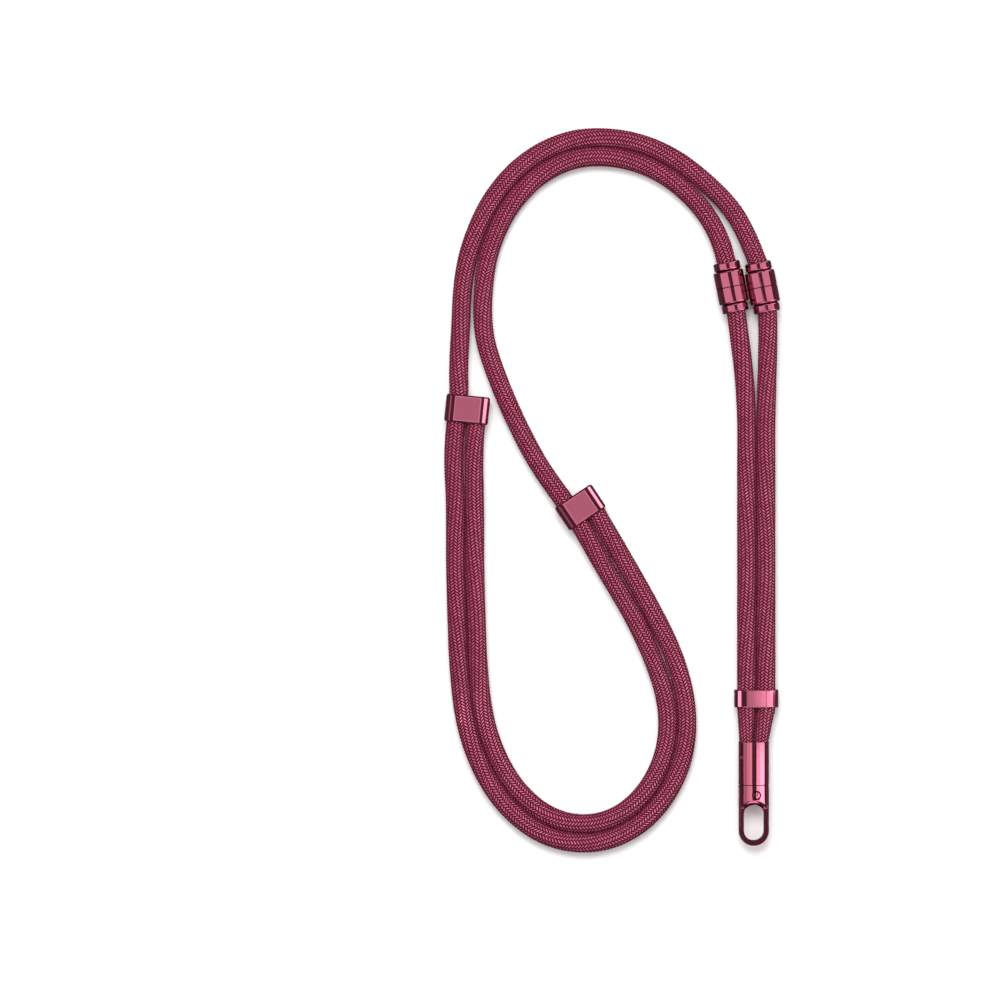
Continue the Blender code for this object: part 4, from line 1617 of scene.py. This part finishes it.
@dataclass
class Ropes:
    """The four ropes and the places that they pass."""

    clasps: dict[int, Clasp]
    slider_left: Slider
    slider_right: Slider
    hook_set: HookSet
    keeper: Keeper

    RIGHT = (
        Row(0.5400, -0.3132),
        Row(0.5400, -0.2252),
        Row(0.5400, -0.1407),
        Row(0.5400, -0.0563),
        Row(0.5400, 0.0281),
        Row(0.5400, 0.1091),
        Row(0.5383, 0.1724, 0.0014, 0.0006),
        Row(0.5317, 0.2322, 0.0021, 0.0018),
    )
    KEEPER_ROWS: ClassVar[int] = 6
    NESTLE: ClassVar[float] = 0.00012
    LIP_SPREAD: ClassVar[float] = 0.0003
    INWARD = Vector((0.0, 0.0015, 0.0))
    TOP = (
        Row(0.4408, 0.4008, 0.0008, 0.0013),
        Row(0.3617, 0.4448, 0.0001, 0.0003),
        Row(0.2350, 0.4880),
        Row(0.0858, 0.5120),
        Row(-0.0833, 0.5130),
        Row(-0.2283, 0.4852),
        Row(-0.3358, 0.4381),
        Row(-0.4050, 0.3797),
        Row(-0.4367, 0.3198, 0.0, 0.0003),
    )
    LOOP = (
        Row(-0.4717, 0.0633, 0.0003, 0.0002),
        Row(-0.4667, -0.0074),
        Row(-0.4667, -0.0876),
        Row(-0.4617, -0.1678),
        Row(-0.4542, -0.2452),
        Row(-0.4317, -0.3227),
        Row(-0.3783, -0.3871),
        Row(-0.2942, -0.4402),
        Row(-0.1692, -0.4785),
        Row(-0.0208, -0.4870),
        Row(0.1125, -0.4645),
        Row(0.2092, -0.4184),
        Row(0.2608, -0.3621),
        Row(0.2642, -0.2980),
        Row(0.2200, -0.2308, 0.0, 0.0002),
        Row(0.1450, -0.1636),
        Row(0.0533, -0.0964, 0.0003, 0.0002),
    )
    ALONE = {
        1: (Row(-0.4825, 0.2463), Row(-0.4892, 0.1970, 0.0005)),
        -1: (
            Row(-0.4017, 0.2428),
            Row(-0.3525, 0.1759),
            Row(-0.2842, 0.1091),
            Row(-0.2108, 0.0510, 0.0004),
        ),
    }

    def row_points(self, rows: Sequence[Row], side: int, lift: float = 0.0) -> list[Vector]:
        """Points of a rope beside the rows.

        Args:
            rows: the places midway between the ropes.
            side: 1 for the outer rope, -1 for the inner.
            lift: how far it is raised, besides each row's own lift.

        Returns:
            Its points.
        """
        middles = [LAYOUT.at(row.across, row.along) for row in rows]
        points = []
        for i, row in enumerate(rows):
            run = (middles[min(i + 1, len(rows) - 1)] - middles[max(i - 1, 0)]).normalized()
            outward = Vector((run.y, -run.x, 0.0))
            across = side * (LAYOUT.rope_pitch / 2 - self.NESTLE + row.spread) * outward
            height = LAYOUT.rope_radius + row.lift + lift
            points.append(middles[i] + across + Vector((0.0, 0.0, height)))
        return points

    def long_rope(self, side: int, node: str) -> Rope:
        """A rope from its clasp over the top, through one slider, round and into the other.

        Args:
            side: 1 for the outer rope, -1 for the inner.
            node: its CAD node.

        Returns:
            The rope.
        """
        clasp = self.clasps[side]
        passed, ended = [self.slider_left, self.slider_right][::side]
        past = passed.length / 2 + LAYOUT.gap
        pocket_end = ended.length / 2 - ended.end_wall - LAYOUT.gap
        start = [
            clasp.axis_point(clasp.socket_floor(1) + LAYOUT.gap),
            clasp.axis_point(clasp.length / 2 + LAYOUT.gap),
        ]
        top = self.row_points(self.TOP, side)
        alone = [
            LAYOUT.at(row.across, row.along) + Vector((0, 0, LAYOUT.rope_radius + row.lift))
            for row in self.ALONE[side]
        ]
        through = [passed.point(-1, past), passed.point(-1, -past)]
        loop = self.row_points(self.LOOP, side)[::side]
        end = [ended.point(1, -past), ended.point(1, pocket_end)]
        knots = start + top + alone + through + loop + end
        first = len(start + top + alone)
        pinned = [0, 1, first, first + 1, len(knots) - 2, len(knots) - 1]
        return Rope(node, Route(knots, pinned), start[1])

    def short_rope(self, side: int, node: str) -> Rope:
        """A rope from the end cap up through the keeper into its clasp.

        Args:
            side: 1 for the outer rope, -1 for the inner.
            node: its CAD node.

        Returns:
            The rope.
        """
        hook_set, clasp = self.hook_set, self.clasps[side]
        inner = hook_set.radius - hook_set.cap_wall - LAYOUT.clearance
        squeezed = side * (inner + LAYOUT.rope_gap / 2) / 2
        mouth = hook_set.mouth + Vector((squeezed, 0.0, hook_set.radius))
        lip = mouth + Vector((side * self.LIP_SPREAD, 0.0, 0.0))
        start = [mouth - Vector((0.0, hook_set.rope_depth, 0.0)), mouth - self.INWARD, lip]
        keeper_lift = self.keeper.height / 2 - LAYOUT.rope_radius
        right = self.row_points(self.RIGHT[: self.KEEPER_ROWS], side, keeper_lift)
        right += self.row_points(self.RIGHT, side)[self.KEEPER_ROWS :]
        band_edge = right[0].copy()
        band_edge.y = KEEPER_AT.y - self.keeper.length / 2
        converging = [lip.lerp(band_edge, 0.4), lip.lerp(band_edge, 0.8), band_edge]
        end = [
            clasp.axis_point(-clasp.length / 2 - LAYOUT.gap),
            clasp.axis_point(-clasp.socket_floor(-1) - LAYOUT.gap),
        ]
        knots = start + converging + right[1:] + end
        straight = len(start + converging) + self.KEEPER_ROWS - 1
        pinned = [*range(straight), len(knots) - 2, len(knots) - 1]
        rope = Rope(node, Route(knots, pinned), mouth)
        half_pitch = LAYOUT.rope_pitch / 2
        rope.squeeze = (
            (hook_set.rope_depth - self.INWARD.y, abs(squeezed) / half_pitch),
            (hook_set.rope_depth, (abs(squeezed) + self.LIP_SPREAD) / half_pitch),
            (hook_set.rope_depth + (band_edge - lip).length, 1.0),
        )
        return rope

    def build(self, material: bpy.types.Material) -> None:
        """Makes the four ropes.

        Args:
            material: the braid's material.
        """
        for side, name in ((1, "outer"), (-1, "inner")):
            self.long_rope(side, f"rope_{name}_long").build(material)
            self.short_rope(side, f"rope_{name}_short").build(material)


# Studio


@dataclass(frozen=True)
class Softbox:
    """One soft light: where it is, how large and how bright it is, and what it acts on.

    aim is the floor point, from the target, that it looks at.
    """

    FAR: ClassVar[float] = 1.8
    NEAR: ClassVar[float] = 0.8
    CLOSE: ClassVar[float] = 0.12

    name: str
    place: tuple[float, float, float]
    width: float
    height: float
    radiance: float
    aim: Point = (0.0, 0.0)
    mirrored: bool = False
    roll: float = 0.0

    @classmethod
    def card(
        cls,
        name: str,
        angles: Point,
        sides: Point,
        radiance: float,
        roll: float = 0.0,
        distance: float = FAR,
        across: float = 0.0,
    ) -> Softbox:
        """A card that only the metal mirrors, seen between two angles from straight above.

        Args:
            name: its name.
            angles: where its upper and lower edges are seen, in degrees to the right.
            sides: where it starts and ends on the Y axis, from the target.
            radiance: how bright it looks.
            roll: its turn in its own plane, in degrees.
            distance: how far it is from the place that it is seen from.
            across: that place on the X axis, from the target.

        Returns:
            The card.
        """
        middle, half = math.radians(sum(angles)) / 2, math.radians(abs(angles[1] - angles[0])) / 2
        along = sum(sides) / 2
        place = (across + distance * math.sin(middle), along, distance * math.cos(middle))
        height = 2 * distance * math.tan(half)
        aim = (across, along)
        width = sides[1] - sides[0]
        return cls(name, place, width, height, radiance, aim, True, math.radians(roll))

    @classmethod
    def close_card(
        cls,
        name: str,
        across: float,
        angles: Point,
        sides: Point,
        radiance: float,
        roll: float = 0.0,
    ) -> Softbox:
        """A card close to one fitting, so that the others don't mirror it."""
        return cls.card(name, angles, sides, radiance, roll, cls.CLOSE, across)

    @classmethod
    def panel(
        cls, name: str, across: Point, radiance: float, along: Point = (-0.124, -0.085)
    ) -> Softbox:
        """A small level panel that only the flat faces of the metal mirror.

        Args:
            name: its name.
            across: where it starts and ends on the X axis, from the target.
            radiance: how bright it looks.
            along: where it starts and ends on the Y axis.

        Returns:
            The panel.
        """
        middle = (sum(across) / 2, sum(along) / 2)
        place = (*middle, cls.NEAR)
        sides = across[1] - across[0], along[1] - along[0]
        return cls(name, place, *sides, radiance, middle, True)

    def build(self, target: Vector) -> None:
        """Adds the light.

        Args:
            target: the floor point that its place is measured from.
        """
        data = bpy.data.lights.new(self.name, "AREA")
        data.shape = "RECTANGLE"
        data.size, data.size_y = self.width, self.height
        data.energy = self.radiance * math.pi * self.width * self.height
        item = bpy.data.objects.new(self.name, data)
        item.location = target + Vector(self.place)
        away = Vector(self.place) - Vector((*self.aim, 0.0))
        turn = (-away).to_track_quat("-Z", "Y") @ Quaternion((0.0, 0.0, 1.0), self.roll)
        item.rotation_euler = turn.to_euler()
        item.visible_camera = False
        item.visible_diffuse = not self.mirrored
        item.visible_glossy = self.mirrored
        bpy.context.scene.collection.objects.link(item)


@dataclass
class Studio:
    """A pale floor, soft lights and a camera straight above."""

    metres_a_pixel: float = 0.000415
    image_pixels: int = 1000
    lens: float = 200.0
    sensor: float = 36.0
    layout_pixel: Point = (600.0, 500.0)
    floor_tint: Colour = (0.905, 0.915, 0.91)
    floor_roughness: float = 0.9
    floor_half: float = 2.0
    floor_drop: float = 0.0002
    room_tint: Colour = (1.0, 0.66, 0.76)
    room_strength: float = 0.16
    cap_across: float = 0.103
    cap_sides: Point = (-0.158, -0.0985)
    keeper_across: float = 0.106
    keeper_sides: Point = (-0.0925, -0.0805)
    keeper_start: float = 0.1007
    keeper_step: float = 0.007
    keeper_least: float = 0.56
    keeper_growth: float = 1.178
    keeper_steps: int = 10

    @property
    def target(self) -> Vector:
        """The floor point in the middle of the picture."""
        middle = self.image_pixels / 2
        across = (middle - self.layout_pixel[0]) * self.metres_a_pixel
        along = (self.layout_pixel[1] - middle) * self.metres_a_pixel
        return Vector((across, along, 0.0)) + SHIFT

    def build_camera(self) -> None:
        """Adds the camera."""
        data = bpy.data.cameras.new("camera")
        data.lens, data.sensor_width = self.lens, self.sensor
        data.clip_start, data.clip_end = 0.05, 20.0
        item = bpy.data.objects.new("camera", data)
        width = self.image_pixels * self.metres_a_pixel
        plane = LAYOUT.rope_radius
        item.location = self.target + Vector((0.0, 0.0, plane + width * self.lens / self.sensor))
        bpy.context.scene.collection.objects.link(item)
        bpy.context.scene.camera = item

    def build_floor(self) -> None:
        """Adds the floor."""
        shape = bmesh.new()
        bmesh.ops.create_grid(shape, x_segments=1, y_segments=1, size=self.floor_half)
        mesh = bpy.data.meshes.new("floor")
        shape.to_mesh(mesh)
        shape.free()
        nodes = Nodes("pale_floor")
        tint = (*self.floor_tint, 1.0)
        nodes.feed(nodes.shader, {"Base Color": tint, "Roughness": self.floor_roughness})
        mesh.materials.append(nodes.material)
        floor = bpy.data.objects.new("floor", mesh)
        floor.location.z = -self.floor_drop
        floor.visible_glossy = False
        floor.visible_diffuse = False
        bpy.context.scene.collection.objects.link(floor)

    def build_lights(self) -> None:
        """Adds the lights: the diffuse ones, and cards and panels that only the metal mirrors."""
        card, close_card, panel = Softbox.card, Softbox.close_card, Softbox.panel
        for box in (
            Softbox("overhead", (-0.10, 0.40, 1.90), 4.0, 3.1, 1.75),
            Softbox("key", (-0.10, 0.85, 1.75), 0.8, 0.8, 10.0),
            card("right_south_high", (22.0, 48.0), (-1.0, -0.174), 2.6),
            card("right_south_low", (48.0, 86.0), (-1.0, -0.174), 4.0),
            card("right_middle", (40.0, 96.0), (-0.128, 0.18), 3.6),
            card("right_far_north", (43.0, 95.0), (0.65, 1.55), 3.6),
            card("left_north", (-42.0, -68.0), (0.09, 0.70), 0.45),
            card("left_south", (-42.0, -68.0), (-1.60, -0.60), 0.45),
            close_card("cap_high", self.cap_across, (-13.0, -30.0), self.cap_sides, 1.55),
            close_card("cap_middle", self.cap_across, (-30.0, -50.0), self.cap_sides, 1.2),
            close_card("cap_low", self.cap_across, (-50.0, -80.5), self.cap_sides, 0.7),
            close_card("clasps_left", self.cap_across, (-12.0, -67.5), (0.0637, 0.0917), 1.2, 8.7),
            close_card("clasps_right", self.cap_across, (13.8, 66.7), (0.0936, 0.1216), 1.25, 8.4),
            close_card("keeper_left", self.keeper_across, (-51.5, -97.0), self.keeper_sides, 3.2),
            close_card("keeper_right", self.keeper_across, (6.6, 63.0), self.keeper_sides, 2.4),
            Softbox("north_card", (0.0, 1.2, 1.2), 1.2, 0.91, 1.6, mirrored=True),
            Softbox("south_card", (0.0, -1.32, 1.07), 1.2, 1.73, 1.8, mirrored=True),
            panel("slider_card", (-0.06, 0.085), 0.82, (-0.04, 0.085)),
            panel("keeper_low", (0.0787, self.keeper_start), 0.50),
            *self.keeper_panels(),
        ):
            box.build(self.target)

    def keeper_panels(self) -> list[Softbox]:
        """The row of panels, each brighter than the last, that gives the keeper its gradient."""
        edges = [self.keeper_start + self.keeper_step * i for i in range(self.keeper_steps + 1)]
        return [
            Softbox.panel(f"keeper_{i}", edges[i : i + 2], self.keeper_least * self.keeper_growth**i)
            for i in range(self.keeper_steps)
        ]

    def build_room(self) -> None:
        """Adds the dim room that the metal mirrors between the lights."""
        world = bpy.data.worlds.new("room")
        world.use_nodes = True
        background = world.node_tree.nodes["Background"]
        background.inputs["Color"].default_value = (*self.room_tint, 1.0)
        background.inputs["Strength"].default_value = self.room_strength
        bpy.context.scene.world = world
        bpy.context.scene.view_settings.view_transform = "Standard"

    def build(self) -> None:
        """Adds everything round the object."""
        self.build_camera()
        self.build_floor()
        self.build_lights()
        self.build_room()


def main() -> None:
    """Builds the strap and the studio round it."""
    logging.basicConfig(level=logging.INFO, format="%(message)s")
    studio = Studio()
    studio.build()
    yarn = BraidFinish().material()
    lacquer = LacquerFinish().material()
    clasps = {1: Clasp(1, "outer_clasp"), -1: Clasp(-1, "inner_clasp")}
    left = Slider("slider_left", LAYOUT.at(-0.4592, 0.1323), math.radians(-5.7))
    right = Slider("slider_right", LAYOUT.at(-0.0683, -0.0106), math.radians(33.7))
    hook_set, keeper = HookSet(), Keeper()
    Ropes(clasps, left, right, hook_set, keeper).build(yarn)
    for clasp in clasps.values():
        clasp.build(lacquer)
    left.build(lacquer)
    right.build(lacquer)
    keeper.build(lacquer)
    hook_set.build_cap(lacquer)
    hook_set.build_hook(lacquer)
    hook_set.build_gate(lacquer)


if __name__ == "__main__":
    main()
